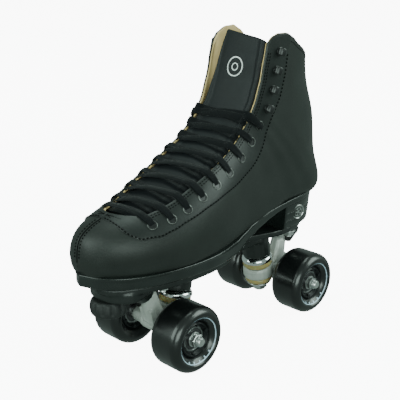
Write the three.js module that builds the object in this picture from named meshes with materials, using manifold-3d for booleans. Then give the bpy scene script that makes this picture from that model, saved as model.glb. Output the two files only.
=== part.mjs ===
// Quad roller skate for a left foot: a lasted leather boot with laced throat, on a nylon plate with
// two steering trucks, four urethane wheels and a screw-in toe stop.
// Millimetres, +Z up, the toe points to -Y and +X is the outer side of the foot. The finished skate's
// origin is on the ground, under the middle of its length.
import * as THREE from "three";
import { mergeVertices } from "three/addons/utils/BufferGeometryUtils.js";
import Module from "manifold-3d";

const wasm = await Module();
wasm.setup();

// ---------- driving dimensions ----------
const FIT = 0.3; // gap between pieces that touch
const MIDDLE_Y = 3.25; // middle of the skate's length, from where the dimensions below are measured
const WHEEL_R = 28.5;
const WHEEL_W = 32;
const WHEEL_X = 36; // wheel centre from the skate's middle plane
const FRONT_AXLE_Y = -57.5;
const REAR_AXLE_Y = 95.5;
const AXLE_R = 4;
const BOSS_END_X = 23.7; // end of the hanger's axle housing
const PLATE_TOP = 81.2;
const PLATE_T = 5.2;
const KINGPIN_TILT = THREE.MathUtils.degToRad(9.5);
const RING_BACK = 21; // steering ring centre, inboard of the axle
const RING_Z = 35.2;
const PIVOT_OUT = 17.5; // pivot, outboard of the axle
const PIVOT_Z = 64;
const TOE_STOP_Y = -107.5;
const LEATHER_T = 3; // upper with its lining
const HEEL_FRONT_Y = 77;
const EYELETS = 9;
const HOOKS = 4;

// ---------- materials ----------
const paint = (color, roughness, metalness = 0) =>
  new THREE.MeshStandardMaterial({ color, roughness, metalness });
const LEATHER = paint(0x262a2a, 0.45);
const LINING = paint(0xb9a06a, 0.8);
const RUBBER = paint(0x1c1e1e, 0.7);
const NYLON = paint(0x17191a, 0.5);
const URETHANE = paint(0x0b0c0d, 0.2);
const HUB_PLASTIC = paint(0x101113, 0.35);
const CUSHION = paint(0x9a8a45, 0.3);
const CAST_ALLOY = paint(0xb5bab6, 0.4, 0.9);
const STEEL = paint(0xb8bab8, 0.3, 1);
const CHROME = paint(0xe0e2e4, 0.1, 1);
const LACE_COTTON = paint(0x11181a, 0.9);
const BLACK_METAL = paint(0x1a1b1c, 0.35, 0.8);

// ---------- shape helpers ----------
// A closed geometry as a manifold solid, turned round if it faces inwards.
function solidOf(geometry) {
  const bare = new THREE.BufferGeometry().setAttribute("position", geometry.getAttribute("position"));
  if (geometry.index) bare.setIndex(geometry.index);
  const merged = mergeVertices(bare, 1e-4);
  const all = merged.index.array;
  const p = merged.attributes.position;
  const kept = [];
  const corner = [0, 1, 2].map(() => new THREE.Vector3());
  let volume = 0;
  for (let i = 0; i < all.length; i += 3) {
    const [a, b, c] = [all[i], all[i + 1], all[i + 2]];
    if (a === b || b === c || a === c) continue;
    kept.push(a, b, c);
    [a, b, c].forEach((v, k) => corner[k].fromBufferAttribute(p, v));
    volume += corner[0].dot(corner[1].clone().cross(corner[2]));
  }
  if (volume < 0) kept.reverse();
  return new wasm.Manifold(
    new wasm.Mesh({ numProp: 3, vertProperties: p.array, triVerts: new Uint32Array(kept) }),
  );
}

function geometryOf(solid) {
  const mesh = solid.getMesh();
  return new THREE.BufferGeometry()
    .setAttribute("position", new THREE.BufferAttribute(new Float32Array(mesh.vertProperties), 3))
    .setIndex(new THREE.BufferAttribute(new Uint32Array(mesh.triVerts), 1));
}

const join = (...pieces) => pieces.reduce((whole, piece) => whole.add(piece));
const cut = (solid, ...tools) => tools.reduce((left, tool) => left.subtract(tool), solid);

// A solid of revolution about +Z: the profile is [radius, height] points in order, closed by itself.
function turned(profile, segments = 20, start = 0) {
  const points = [...profile, profile[0]].map(([r, h]) => new THREE.Vector2(r, h));
  return new THREE.LatheGeometry(points, segments, start).rotateX(Math.PI / 2);
}

function rod(radius, low, high, segments = 20) {
  return turned([[0, low], [radius, low], [radius, high], [0, high]], segments);
}

// A ring or bush between two heights.
function ring(inner, outer, low, high, segments = 20) {
  return turned([[inner, low], [outer, low], [outer, high], [inner, high]], segments);
}

// A hexagonal nut round a thread of the given radius.
const hexNut = (thread, acrossFlats, low, high) =>
  ring((thread + FIT) / Math.cos(Math.PI / 6), acrossFlats / Math.sqrt(3), low, high, 6);

// Turns a shape made about +Z so that its axis runs along `direction`, then moves it to `at`.
function placed(geometry, at, direction = new THREE.Vector3(0, 0, 1)) {
  const turn = new THREE.Quaternion().setFromUnitVectors(
    new THREE.Vector3(0, 0, 1),
    direction.clone().normalize(),
  );
  return geometry.applyQuaternion(turn).translate(at.x, at.y, at.z);
}

// A flat outline of [y, z] points as a slab of the given width across the skate.
function sideSlab(outline, width) {
  const shape = new THREE.Shape(outline.map(([y, z]) => new THREE.Vector2(y, z)));
  const slab = new THREE.ExtrudeGeometry(shape, { depth: width, bevelEnabled: false });
  return slab.rotateY(Math.PI / 2).rotateX(Math.PI / 2).translate(-width / 2, 0, 0);
}

// A flat outline of [x, y] points as a slab between two heights.
function flatSlab(outline, low, high) {
  const shape = new THREE.Shape(outline.map(([x, y]) => new THREE.Vector2(x, y)));
  return new THREE.ExtrudeGeometry(shape, { depth: high - low, bevelEnabled: false }).translate(0, 0, low);
}

// Points on a smooth closed curve through the given [x, y] points.
function smoothOutline(points, count) {
  const curve = new THREE.CatmullRomCurve3(
    points.map(([x, y]) => new THREE.Vector3(x, y, 0)),
    true,
    "centripetal",
  );
  return curve.getSpacedPoints(count).slice(0, count).map((p) => [p.x, p.y]);
}

// A closed body from two matching grids of points, an outer and an inner skin, joined round the rim.
function skinned(outer, inner) {
  const rows = outer.length;
  const columns = outer[0].length;
  const positions = [];
  const quad = (a, b, c, d) => {
    for (const p of [a, b, c, a, c, d]) positions.push(p.x, p.y, p.z);
  };
  for (let i = 0; i + 1 < rows; i++)
    for (let j = 0; j + 1 < columns; j++) {
      quad(outer[i][j], outer[i][j + 1], outer[i + 1][j + 1], outer[i + 1][j]);
      quad(inner[i][j], inner[i + 1][j], inner[i + 1][j + 1], inner[i][j + 1]);
    }
  for (let i = 0; i + 1 < rows; i++) {
    const last = columns - 1;
    quad(outer[i][0], outer[i + 1][0], inner[i + 1][0], inner[i][0]);
    quad(outer[i][last], inner[i][last], inner[i + 1][last], outer[i + 1][last]);
  }
  for (let j = 0; j + 1 < columns; j++) {
    const last = rows - 1;
    quad(outer[0][j], inner[0][j], inner[0][j + 1], outer[0][j + 1]);
    quad(outer[last][j], outer[last][j + 1], inner[last][j + 1], inner[last][j]);
  }
  return new THREE.BufferGeometry().setAttribute(
    "position",
    new THREE.Float32BufferAttribute(positions, 3),
  );
}

// A closed body through a stack of rings with the same number of points, capped at both ends.
function lofted(rings) {
  const positions = [];
  const triangle = (...corners) => corners.forEach((p) => positions.push(p.x, p.y, p.z));
  const count = rings[0].length;
  for (let k = 0; k + 1 < rings.length; k++)
    for (let i = 0; i < count; i++) {
      const j = (i + 1) % count;
      triangle(rings[k][i], rings[k][j], rings[k + 1][j]);
      triangle(rings[k][i], rings[k + 1][j], rings[k + 1][i]);
    }
  const cap = (points, flip) => {
    const middle = points.reduce((sum, p) => sum.add(p), new THREE.Vector3()).divideScalar(count);
    points.forEach((p, i) => {
      const next = points[(i + 1) % count];
      if (flip) triangle(middle, next, p);
      else triangle(middle, p, next);
    });
  };
  cap(rings[0], true);
  cap(rings[rings.length - 1], false);
  return new THREE.BufferGeometry().setAttribute(
    "position",
    new THREE.Float32BufferAttribute(positions, 3),
  );
}

// A smooth value through [place, value...] knots, in order of place.
function smooth(knots, at) {
  const last = knots.length - 1;
  let i = 0;
  while (i < last - 1 && at > knots[i + 1][0]) i++;
  const [a, b] = [knots[i], knots[i + 1]];
  const t = THREE.MathUtils.clamp((at - a[0]) / (b[0] - a[0]), 0, 1);
  const s = t * t * (3 - 2 * t);
  return a[1] + (b[1] - a[1]) * (0.5 * t + 0.5 * s);
}

// ---------- the boot's surface ----------
// Each station is a cross-section from the top (or front) line D to the bottom (or back) line B, both in
// one upright plane: [yD, zD, yB, zB, outer half-width, inner half-width, height of the widest point as a
// share, squareness below it, squareness above it, x of the plane]. Stations run from the toe to the collar.
const STATIONS = [
  [-130.5, 100, -130.5, 100, 0, 0, 0.5, 2.2, 2.2, -8.5],
  [-129.5, 113, -126, 90, 14, 12, 0.45, 3, 2.1, -8.5],
  [-126, 122, -118, 89.5, 22, 18.5, 0.4, 4.5, 2.1, -8],
  [-117.5, 129, -105.5, 89.5, 31, 26.5, 0.38, 6, 2.1, -6.5],
  [-103.8, 135, -89.8, 89.5, 38.5, 33.5, 0.36, 6, 2.1, -4.5],
  [-85, 142, -71, 89.5, 43.5, 38.5, 0.35, 6, 2.1, -2.5],
  [-60, 153, -48, 89.5, 45.5, 41, 0.35, 6, 2.2, -1],
  [-34, 166, -15, 91, 43.5, 38, 0.37, 5.5, 2.4, 0],
  [-12, 179, 26, 96.5, 37.5, 34.5, 0.42, 5.5, 2.6, 0],
  [3, 192, 80, 107, 34, 34, 0.46, 6, 2.8, 0],
  [11, 205, 132, 108.3, 33.5, 34.5, 0.5, 4, 3, 0],
  [16, 216, 135, 140, 33.5, 35, 0.52, 2.4, 3, 0],
  [22, 229, 126, 178, 33, 35.5, 0.54, 2.2, 3.1, 0],
  [29, 244, 115, 212, 33, 36, 0.55, 2.2, 3.2, 0],
  [37, 263, 108, 243, 33.5, 36, 0.55, 2.2, 3.2, 0],
  [46, 284, 102, 274, 34, 36.5, 0.55, 2.2, 3.2, 0],
];
const THROAT = 4.15; // station where the lacing gap starts
const COLLAR = 14; // station of the collar's back

// Catmull-Rom between stations.
function station(u) {
  const i = Math.min(Math.floor(u), STATIONS.length - 2);
  const t = u - i;
  const [p0, p1, p2, p3] = [-1, 0, 1, 2].map(
    (k) => STATIONS[THREE.MathUtils.clamp(i + k, 0, STATIONS.length - 1)],
  );
  return p1.map(
    (_, k) =>
      0.5 *
      (2 * p1[k] +
        (p2[k] - p0[k]) * t +
        (2 * p0[k] - 5 * p1[k] + 4 * p2[k] - p3[k]) * t * t +
        (3 * p1[k] - p0[k] - 3 * p2[k] + p3[k]) * t * t * t),
  );
}

// A point on the outside: angle 0 is the top line, +pi or -pi the bottom line, positive on the outer side.
function bootPoint(u, angle) {
  const [yD, zD, yB, zB, outer, inner, widest, below, above, middle] = station(u);
  const [c, s] = [Math.cos(angle), Math.sin(angle)];
  const power = c >= 0 ? above : below;
  const k = (Math.abs(c) ** power + Math.abs(s) ** power) ** (-1 / power);
  const share = widest + (c >= 0 ? 1 - widest : widest) * c * k;
  return new THREE.Vector3(
    middle + (s >= 0 ? outer : inner) * s * k,
    yB + (yD - yB) * share,
    zB + (zD - zB) * share,
  );
}

const ARC_STEPS = 90;
const arcTables = new Map();
// Distance round the section from the top line, for ARC_STEPS angles.
function arcTable(u, side) {
  const key = `${u.toFixed(4)},${side}`;
  if (!arcTables.has(key)) {
    const lengths = [0];
    let before = bootPoint(u, 0);
    for (let i = 1; i <= ARC_STEPS; i++) {
      const point = bootPoint(u, (side * Math.PI * i) / ARC_STEPS);
      lengths.push(lengths[i - 1] + point.distanceTo(before));
      before = point;
    }
    arcTables.set(key, lengths);
  }
  return arcTables.get(key);
}

function angleAt(u, distance, side) {
  const lengths = arcTable(u, side);
  let i = 1;
  while (i < ARC_STEPS && lengths[i] < distance) i++;
  const span = lengths[i] - lengths[i - 1] || 1;
  const t = THREE.MathUtils.clamp((distance - lengths[i - 1]) / span, 0, 1);
  return (side * Math.PI * (i - 1 + t)) / ARC_STEPS;
}

// Outward normal of the boot's surface.
function bootNormal(u, angle) {
  const h = 0.02;
  const along = bootPoint(u + h, angle).sub(bootPoint(Math.max(u - h, 0.01), angle));
  const round = bootPoint(u, angle + h).sub(bootPoint(u, angle - h));
  const normal = round.cross(along).normalize();
  const core = bootPoint(u, 0).lerp(bootPoint(u, Math.PI), 0.5);
  const outward = bootPoint(u, angle).sub(core);
  return u < 0.05 ? new THREE.Vector3(0, -1, 0) : normal.multiplyScalar(Math.sign(normal.dot(outward)));
}


// Distance from the top line to the edge of the lacing gap.
const GAP = [
  [4.15, 0], [4.25, 8], [4.45, 15], [4.7, 20.5], [5, 25], [5.5, 28.5], [6, 30.5], [7, 32.2],
  [8, 33.3], [9, 34], [10, 36], [11, 37.2], [12, 36.5], [13, 34], [14, 31.5], [15, 29],
];
const gapEdge = (u) => (u <= THROAT ? 0 : smooth(GAP, u));

// How far the inner side's lacing edge stands off the surface, by station, fading out within FLARE_WIDTH.
const FLARE = [[4.4, 0], [5, -1.5], [5.8, 0], [6.6, 2], [7.8, 5], [9, 4.5], [10, 3.5], [11, 2], [12.5, 0]];
const FLARE_WIDTH = 16;
const flare = (u, distance, side) =>
  side < 0 ? smooth(FLARE, u) * Math.exp(-(((distance - gapEdge(u)) / FLARE_WIDTH) ** 2)) : 0;

// A point `distance` round from the top line on one side, lifted off the surface by `lift`.
function onBoot(u, distance, side, lift = 0) {
  const angle = angleAt(u, distance, side);
  return bootPoint(u, angle).addScaledVector(bootNormal(u, angle), lift + flare(u, distance, side));
}
const sectionLength = (u, side) => arcTable(u, side)[ARC_STEPS];

// Distance from the top line to the outer edge of the facing that carries the eyelets and hooks.
const FACING = [
  [0, 20], [3.2, 30], [3.75, 33], [4.3, 40.5], [5, 46.7], [5.6, 49.5], [6.4, 52.7], [7.1, 55.3],
  [8.1, 59.4], [8.8, 61.6], [9.3, 61], [10, 58.6], [10.7, 59.2], [11.9, 62], [12.8, 60.9],
  [13.6, 57.4], [15, 54],
];
const facingEdge = (u) => smooth(FACING, u);

// ---------- boot ----------
const UPPER_STATIONS = [
  0, 0.5, 1, 1.5, 2, 2.6, 3.2, 3.75, 4.15, 4.25, 4.4, 4.6, 4.9, 5.4, 6, 6.8, 7.6, 8.4, 9.2, 10,
  10.6, 11.3, 12.1, 12.9, 13.5, 14,
];
const FACING_COLUMNS = 3;
const BODY_COLUMNS = 9;
const FACING_T = 1.1;
// How far the collar rises past its last station, by share of the way round from the lacing edge.
const COLLAR_RISE = {
  outer: [
    [0, -0.32], [0.05, 0], [0.1, 0.13], [0.2, 0.2], [0.3, 0.12], [0.4, -0.02], [0.5, -0.1], [0.6, -0.18],
    [0.8, -0.26], [1, -0.3],
  ],
  inner: [
    [0, -0.6], [0.05, -0.3], [0.1, -0.08], [0.2, 0.18], [0.3, 0.27], [0.4, 0.27], [0.5, 0.15],
    [0.7, -0.1], [1, -0.3],
  ],
};

// The grid that both the quarter and its facing follow: columns run round the foot from the lacing edge.
function upperPoint(side, level, column, lift) {
  const share = column / (FACING_COLUMNS + BODY_COLUMNS);
  const nearCollar = THREE.MathUtils.clamp((level - 12.9) / (COLLAR - 12.9), 0, 1);
  const u = level + nearCollar * smooth(side > 0 ? COLLAR_RISE.outer : COLLAR_RISE.inner, share);
  const length = sectionLength(u, side);
  const edge = Math.max(facingEdge(u), 0.15 * length);
  const distance =
    column <= FACING_COLUMNS
      ? THREE.MathUtils.lerp(gapEdge(u), edge, column / FACING_COLUMNS)
      : THREE.MathUtils.lerp(edge, length, (column - FACING_COLUMNS) / BODY_COLUMNS);
  const point = onBoot(u, distance, side, lift);
  const middle = station(u)[9];
  point.x = middle + side * Math.max(side * (point.x - middle), FIT / 2);
  return point;
}

function upperShell(side, levels, columns, top, bottom) {
  const skin = (lift) =>
    levels.map((level) =>
      Array.from({ length: columns + 1 }, (_, column) => upperPoint(side, level, column, lift)),
    );
  return solidOf(skinned(skin(top), skin(bottom)));
}

// One half of the upper, from the toe seam and lacing edge round to the middle of the sole.
const quarter = (side) =>
  geometryOf(upperShell(side, UPPER_STATIONS, FACING_COLUMNS + BODY_COLUMNS, 0, -LEATHER_T));

// The facing sewn along the lacing edge, with a hole for each eyelet.
function facing(side) {
  const levels = UPPER_STATIONS.filter((level) => level > 3.7);
  const strip = upperShell(side, levels, FACING_COLUMNS, FIT + FACING_T, FIT);
  const bores = EYELET_U.map((u) => fittingAt(u, side, EYELET_IN, rod(2.2, -1, 4, 6)));
  return geometryOf(cut(strip, ...bores));
}

// How nearly flat the tongue lies between the lacing edges, by station.
const TONGUE_FLAT = [[4, 0], [7.5, 0.1], [10, 0.75], [12, 0.9], [14, 0.9]];

// The padded tongue: it runs under both lacing edges and ends a little below the collar.
function tongue() {
  const [first, last, rows, columns, tuck, thick] = [4.5, 13.75, 12, 8, 9, 4];
  const top = -LEATHER_T - 0.8;
  const skin = (lift) =>
    Array.from({ length: rows + 1 }, (_, i) => {
      const u = first + ((last - first) * i) / rows;
      const half = (gapEdge(u) + tuck) * (i === 0 ? 0.7 : 1);
      const edges = [-1, 1].map((side) => onBoot(u, gapEdge(u), side, lift));
      return Array.from({ length: columns + 1 }, (_, j) => {
        const across = (2 * j) / columns - 1;
        const point = onBoot(u, Math.abs(across) * half, across < 0 ? -1 : 1, lift);
        const open = Math.max(0, 1 - (Math.abs(across) * half) / gapEdge(u));
        const chord = edges[0].clone().lerp(edges[1], (point.x - edges[0].x) / (edges[1].x - edges[0].x));
        return point.lerp(chord, smooth(TONGUE_FLAT, u) * Math.min(1, 3 * open));
      });
    });
  return geometryOf(solidOf(skinned(skin(top), skin(top - thick))));
}

// Station whose bottom line lies at this y.
function stationOfBottom(y) {
  let [low, high] = [0, 10];
  for (let i = 0; i < 24; i++) {
    const middle = (low + high) / 2;
    if (station(middle)[2] < y) low = middle;
    else high = middle;
  }
  return low;
}

// The boot's outside as one closed body, grown by `grow`, to shape the pieces that fit against it.
function last(grow) {
  const count = 36;
  const rings = [];
  for (let u = 0.25; u <= 13; u += 0.75)
    rings.push(
      Array.from({ length: count }, (_, i) => {
        const angle = (2 * Math.PI * i) / count - Math.PI;
        return bootPoint(u, angle).addScaledVector(bootNormal(u, angle), grow);
      }),
    );
  const tip = bootPoint(0, 0).add(new THREE.Vector3(0, -grow, 0));
  rings.unshift(rings[0].map((p) => tip.clone().lerp(p, 0.3)));
  return solidOf(lofted(rings));
}

// Heights along the foot: the outsole's rim, where the upper meets it, and its underside.
const SOLE_RIM = [
  [-138, 91.5], [-50, 91.5], [-18, 92.5], [3, 93.5], [16, 97], [28, 101], [42, 104.5], [55, 106.5],
  [70, 108], [85, 109.3], [100, 110], [138, 110.5],
];
const SOLE_BOTTOM = [
  [-138, 81.5], [8, 81.5], [13, 84.5], [20, 88.2], [28, 91], [40, 95], [54, 99], [67, 102],
  [77, 103.5], [138, 105],
];
const soleRim = (y) => smooth(SOLE_RIM, y);
const soleBottom = (y) => smooth(SOLE_BOTTOM, y);

// The outsole in plan: [y, x of the outer edge, -x of the inner edge].
const SOLE_PLAN = [
  [-128.6, -6, 11], [-127, -1.5, 14.5], [-124.3, 5.5, 19], [-120, 12.2, 23.3], [-115, 18, 27.3],
  [-107.5, 24.3, 31.5], [-96, 30.8, 36], [-84.6, 35.4, 38.7], [-71.6, 38.6, 40], [-57, 40.8, 40.2],
  [-42, 42, 39], [-30, 42.3, 37.5], [-18, 41, 35.8], [0, 37, 33], [20, 33.5, 31.2], [40, 31.5, 30.3],
  [60, 30.3, 30], [77, 29.9, 29.9], [96, 29.3, 29.3], [108, 27.5, 27.5], [118, 24, 24],
  [126, 19, 19], [131, 13.5, 13.5], [134.3, 5, 5],
];

// A slab along the foot, between a low and a high height at each y.
function footSlab(plan, low, high) {
  const rings = plan.map(([y, outer, inner]) =>
    [[outer, low(y)], [outer, high(y)], [-inner, high(y)], [-inner, low(y)]].map(
      ([x, z]) => new THREE.Vector3(x, y, z),
    ),
  );
  return lofted(rings);
}

function boltHole(x, y, high) {
  return solidOf(placed(rod(3 + FIT, 60, high, 12), new THREE.Vector3(x, y, 0)));
}
const BOLTS = [
  { name: "front_outer", x: 24, y: -72, top: 88 },
  { name: "front_inner", x: -24, y: -72, top: 88 },
  { name: "rear_outer", x: 21, y: 92, top: 96 },
  { name: "rear_inner", x: -21, y: 92, top: 96 },
];

function outsole() {
  const slab = solidOf(footSlab(SOLE_PLAN, soleBottom, soleRim));
  const holes = BOLTS.filter((b) => b.y < HEEL_FRONT_Y).map((b) => boltHole(b.x, b.y, b.top + FIT));
  return geometryOf(cut(slab, last(1.1), ...holes));
}

// The footbed that the foot stands on, inside the upper.
function insole() {
  const floor = (y) => station(Math.min(Math.max(1, stationOfBottom(y)), 10))[3] + LEATHER_T;
  const slab = solidOf(footSlab(SOLE_PLAN, (y) => floor(y) - 4, (y) => floor(y) + 5));
  return geometryOf(slab.intersect(last(-LEATHER_T - 1.5)));
}

// The stacked heel under the sole's back part, a little smaller at the plate.
function heelBlock() {
  const ends = SOLE_PLAN.filter(([y]) => y > HEEL_FRONT_Y).map(([y, x]) => [x, y]);
  const side = [[29.8, HEEL_FRONT_Y], ...ends];
  const outline = [...side, ...side.map(([x, y]) => [-x, y]).reverse()];
  const level = (height, narrow, forward) =>
    outline.map(([x, y]) => {
      const moved = HEEL_FRONT_Y + (y - HEEL_FRONT_Y) * forward;
      return new THREE.Vector3(x * narrow, moved, height(moved));
    });
  const block = lofted([
    level(() => PLATE_TOP + FIT, 0.94, 0.9),
    level((y) => soleBottom(y) - FIT, 0.99, 0.99),
  ]);
  const holes = BOLTS.filter((b) => b.y > HEEL_FRONT_Y).map((b) => boltHole(b.x, b.y, b.top + FIT));
  return geometryOf(cut(solidOf(block), ...holes));
}

// ---------- lacing ----------
// Station of each eyelet and hook, from the toe up, and its distance from the lacing edge.
const EYELET_U = [4.82, 5.46, 6.04, 6.62, 7.22, 7.84, 8.5, 9.2, 10.05];
const HOOK_U = [11.1, 11.95, 12.8, 13.52];
const EYELET_IN = 12;
const HOOK_IN = 14;

function fittingAt(u, side, inset, shape) {
  const distance = gapEdge(u) + inset;
  const normal = bootNormal(u, angleAt(u, distance, side));
  return solidOf(placed(shape, onBoot(u, distance, side), normal));
}

// A thin strip under a line of speed hooks, with each hook turned about the surface's normal.
function hookRow(side) {
  const [rows, width, top] = [6, 6.5, 2 * FIT + FACING_T + 0.4];
  const [first, last] = [HOOK_U[0] - 0.28, HOOK_U[HOOKS - 1] + 0.2];
  const skin = (lift) =>
    Array.from({ length: rows + 1 }, (_, i) => {
      const u = first + ((last - first) * i) / rows;
      return [-0.5, 0.5].map((share) => onBoot(u, gapEdge(u) + HOOK_IN + width * share, side, lift));
    });
  const strip = solidOf(skinned(skin(top + 0.8), skin(top)));
  const hook = [[0, 0.5], [4, 0.5], [4, 1.6], [1.8, 1.8], [1.8, 4], [3.8, 4.6], [3.8, 5.8], [0, 5.8]];
  const hooks = HOOK_U.map((u) => fittingAt(u, side, HOOK_IN, turned(hook, 8).translate(0, 0, top)));
  return geometryOf(join(strip, ...hooks));
}

// One half of the lace: from the first eyelet of one side it crosses the throat to each next eyelet.
function laceHalf(startSide) {
  const [steps, halfWidth, thick] = [8, 3, 1.8];
  const lift = startSide > 0 ? 3.3 : 4.1;
  const stops = EYELET_U.map((u, i) => [u, (i % 2 ? -startSide : startSide) * (gapEdge(u) + EYELET_IN)]);
  if (startSide > 0) stops.unshift([stops[0][0], -stops[0][1]]);
  const path = [];
  for (let i = 0; i + 1 < stops.length; i++)
    for (let k = i ? 1 : 0; k <= steps; k++) {
      const [u, d] = [0, 1].map((c) => THREE.MathUtils.lerp(stops[i][c], stops[i + 1][c], k / steps));
      const side = d < 0 ? -1 : 1;
      path.push({ point: onBoot(u, Math.abs(d), side), normal: bootNormal(u, angleAt(u, Math.abs(d), side)) });
    }
  const rings = path.map(({ point, normal }, i) => {
    const ahead = path[Math.min(i + 1, path.length - 1)].point;
    const behind = path[Math.max(i - 1, 0)].point;
    const across = ahead.clone().sub(behind).cross(normal).normalize();
    const corner = (a, b) => point.clone().addScaledVector(across, a).addScaledVector(normal, lift + b);
    return [
      corner(-halfWidth, 0), corner(halfWidth, 0), corner(halfWidth, thick), corner(-halfWidth, thick),
    ];
  });
  return solidOf(lofted(rings));
}

const lace = () => geometryOf(join(laceHalf(1), laceHalf(-1)));

// ---------- plate ----------
const PLATE_LOW = PLATE_TOP - PLATE_T;
const NOSE_LOW = 69;

// The nylon plate: flange, nose block with the toe stop socket, and the trucks' bosses and housings.
function plate() {
  const half = [
    [12, -118.5], [20, -110], [27, -97], [33, -83], [37, -66], [38.8, -47], [38.6, -28], [36.5, -12],
    [31, 3], [23, 16], [16.5, 30], [16, 44], [20, 55], [24.5, 68], [26.3, 82], [25, 98], [19.5, 111],
    [9, 118.5],
  ];
  const outline = smoothOutline([...half, ...half.map(([x, y]) => [-x, y]).reverse()], 48);
  const noseHalf = [[9, -117], [18, -112], [25, -103], [24.5, -92], [20, -80], [12, -73]];
  const nose = smoothOutline([...noseHalf, ...noseHalf.map(([x, y]) => [-x, y]).reverse()], 22);
  const ribs = [-1, 1].map((side) =>
    solidOf(
      new THREE.BoxGeometry(5, 112, 9).translate(side * 10, (FRONT_AXLE_Y + REAR_AXLE_Y) / 2, PLATE_LOW - 4),
    ),
  );
  const bosses = TRUCKS.flatMap((truck) => [
    solidOf(placed(rod(13.2, 17.6, 48, 18), truck.ringCentre, truck.kingpinUp)),
    solidOf(placed(rod(11, -6, 9, 18), truck.pivot, truck.steerUp)),
    solidOf(
      new THREE.BoxGeometry(18, 16, 18).translate(0, truck.pivot.y + truck.out * 1.5, PLATE_LOW - 6),
    ),
  ]);
  const body = join(
    solidOf(flatSlab(outline, PLATE_LOW, PLATE_TOP)),
    solidOf(flatSlab(nose, NOSE_LOW, PLATE_LOW + 1)),
    ...ribs,
    ...bosses,
  );
  const above = solidOf(new THREE.BoxGeometry(90, 300, 60).translate(0, 0, PLATE_TOP + 30));
  const bores = TRUCKS.flatMap((truck) => [
    solidOf(placed(rod(4.75 + FIT, 10, 42, 14), truck.ringCentre, truck.kingpinUp)),
    solidOf(placed(rod(8 + FIT, -9, 5 + FIT, 18), truck.pivot, truck.steerUp)),
    solidOf(placed(rod(9, -20, -6, 18), truck.pivot, truck.steerUp)),
  ]);
  const stopBore = solidOf(placed(rod(8 + FIT, 55, 80, 18), new THREE.Vector3(0, TOE_STOP_Y, 0)));
  const bolts = BOLTS.map((b) => boltHole(b.x, b.y, 100));
  return geometryOf(cut(body, above, ...bores, stopBore, ...bolts));
}

function mountingBolt({ x, y, top }) {
  const head = solidOf(rod(5.5, PLATE_LOW - 4.5, PLATE_LOW - FIT, 6));
  return geometryOf(join(head, solidOf(rod(3, PLATE_LOW - 2, top, 12)))).translate(x, y, 0);
}

// ---------- trucks ----------
// Each truck steers about the line from its ring's centre to its pivot. `out` is +1 towards the heel.
const TRUCKS = [
  { name: "front", axleY: FRONT_AXLE_Y, out: -1 },
  { name: "rear", axleY: REAR_AXLE_Y, out: 1 },
].map((truck) => {
  const ringCentre = new THREE.Vector3(0, truck.axleY - truck.out * RING_BACK, RING_Z);
  const pivot = new THREE.Vector3(0, truck.axleY + truck.out * PIVOT_OUT, PIVOT_Z);
  return {
    ...truck,
    ringCentre,
    pivot,
    axle: new THREE.Vector3(0, truck.axleY, WHEEL_R),
    steerUp: pivot.clone().sub(ringCentre).normalize(),
    kingpinUp: new THREE.Vector3(0, -truck.out * Math.sin(KINGPIN_TILT), Math.cos(KINGPIN_TILT)),
  };
});
const ACROSS = new THREE.Vector3(1, 0, 0);

// The cast hanger: axle housing, steering ring and pivot arm.
function hanger({ ringCentre, pivot, axle, steerUp, kingpinUp, out }) {
  const housing = solidOf(
    placed(
      turned([
        [0, -BOSS_END_X], [6.6, -BOSS_END_X], [6.8, -15], [8.6, -10], [8.6, 10], [6.8, 15],
        [6.6, BOSS_END_X], [0, BOSS_END_X],
      ], 16),
      axle,
      ACROSS,
    ),
  );
  const at = (y, z) => [axle.y + out * y, z];
  const web = solidOf(sideSlab([at(-12, 25.5), at(1, 21), at(9, 30), at(13, 44), at(5, 47), at(-4, 38), at(-12, 36)], 14));
  const armFoot = new THREE.Vector3(0, axle.y + out * 2, 33);
  const armTop = pivot.clone().addScaledVector(steerUp, -11);
  const length = armTop.distanceTo(armFoot);
  const arm = solidOf(
    placed(
      turned([[0, 0], [9.2, 0], [6.9, length], [5, length + 2.5], [0, length + 2.5]], 14),
      armFoot,
      armTop.clone().sub(armFoot),
    ),
  );
  const pin = solidOf(placed(turned([[0, -13], [4.7, -13], [4.7, 0], [3, 2.4], [0, 3]], 14), pivot, steerUp));
  const yoke = solidOf(placed(turned([[0, -5.5], [13.4, -5.5], [14.3, -3], [14.3, 3], [13.4, 5.5], [0, 5.5]], 18), ringCentre, kingpinUp));
  const eye = solidOf(placed(rod(7.2, -9, 9, 12), ringCentre, kingpinUp));
  const clear = solidOf(placed(rod(14.6, 5.5, 16, 18), ringCentre, kingpinUp));
  const under = solidOf(placed(rod(14.6, -16, -5.5, 18), ringCentre, kingpinUp));
  const bore = solidOf(placed(rod(AXLE_R + FIT, -40, 40, 12), axle, ACROSS));
  return geometryOf(cut(join(housing, web, arm, pin, yoke), eye, clear, under, bore));
}

// Pieces stacked on the kingpin, with heights along it from the ring's centre.
const STACK = {
  kingpin: [STEEL, () => rod(4.75, -21, 40, 14)],
  upper_cushion: [CUSHION, () => turned([[5.2, 5.8], [12.6, 5.8], [13.6, 8.5], [13, 12.6], [5.2, 12.6]], 18)],
  upper_retainer: [CHROME, () => turned([[5.2, 12.9], [13.3, 12.9], [13.6, 11.6], [14.4, 11.6], [14.2, 15], [12.5, 17.2], [5.2, 17.2]], 18)],
  lower_cushion: [CUSHION, () => turned([[5.2, -11], [11.2, -11], [12.8, -8], [12, -5.8], [5.2, -5.8]], 18)],
  lower_retainer: [CHROME, () => ring(5.2, 11.6, -13.2, -11.3, 18)],
  kingpin_nut: [STEEL, () => hexNut(4.75, 13, -19.6, -13.5)],
};

const pivotCup = () => turned([[5.3, -6.5], [8, -6.5], [8, 5], [0, 5], [0, 4.4], [5.3, 1.6]], 14);

// ---------- wheels ----------
const FLATS = 28; // facets round a tyre, with one flat on the ground
const roundUp = 1 / Math.cos(Math.PI / FLATS);

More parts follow.
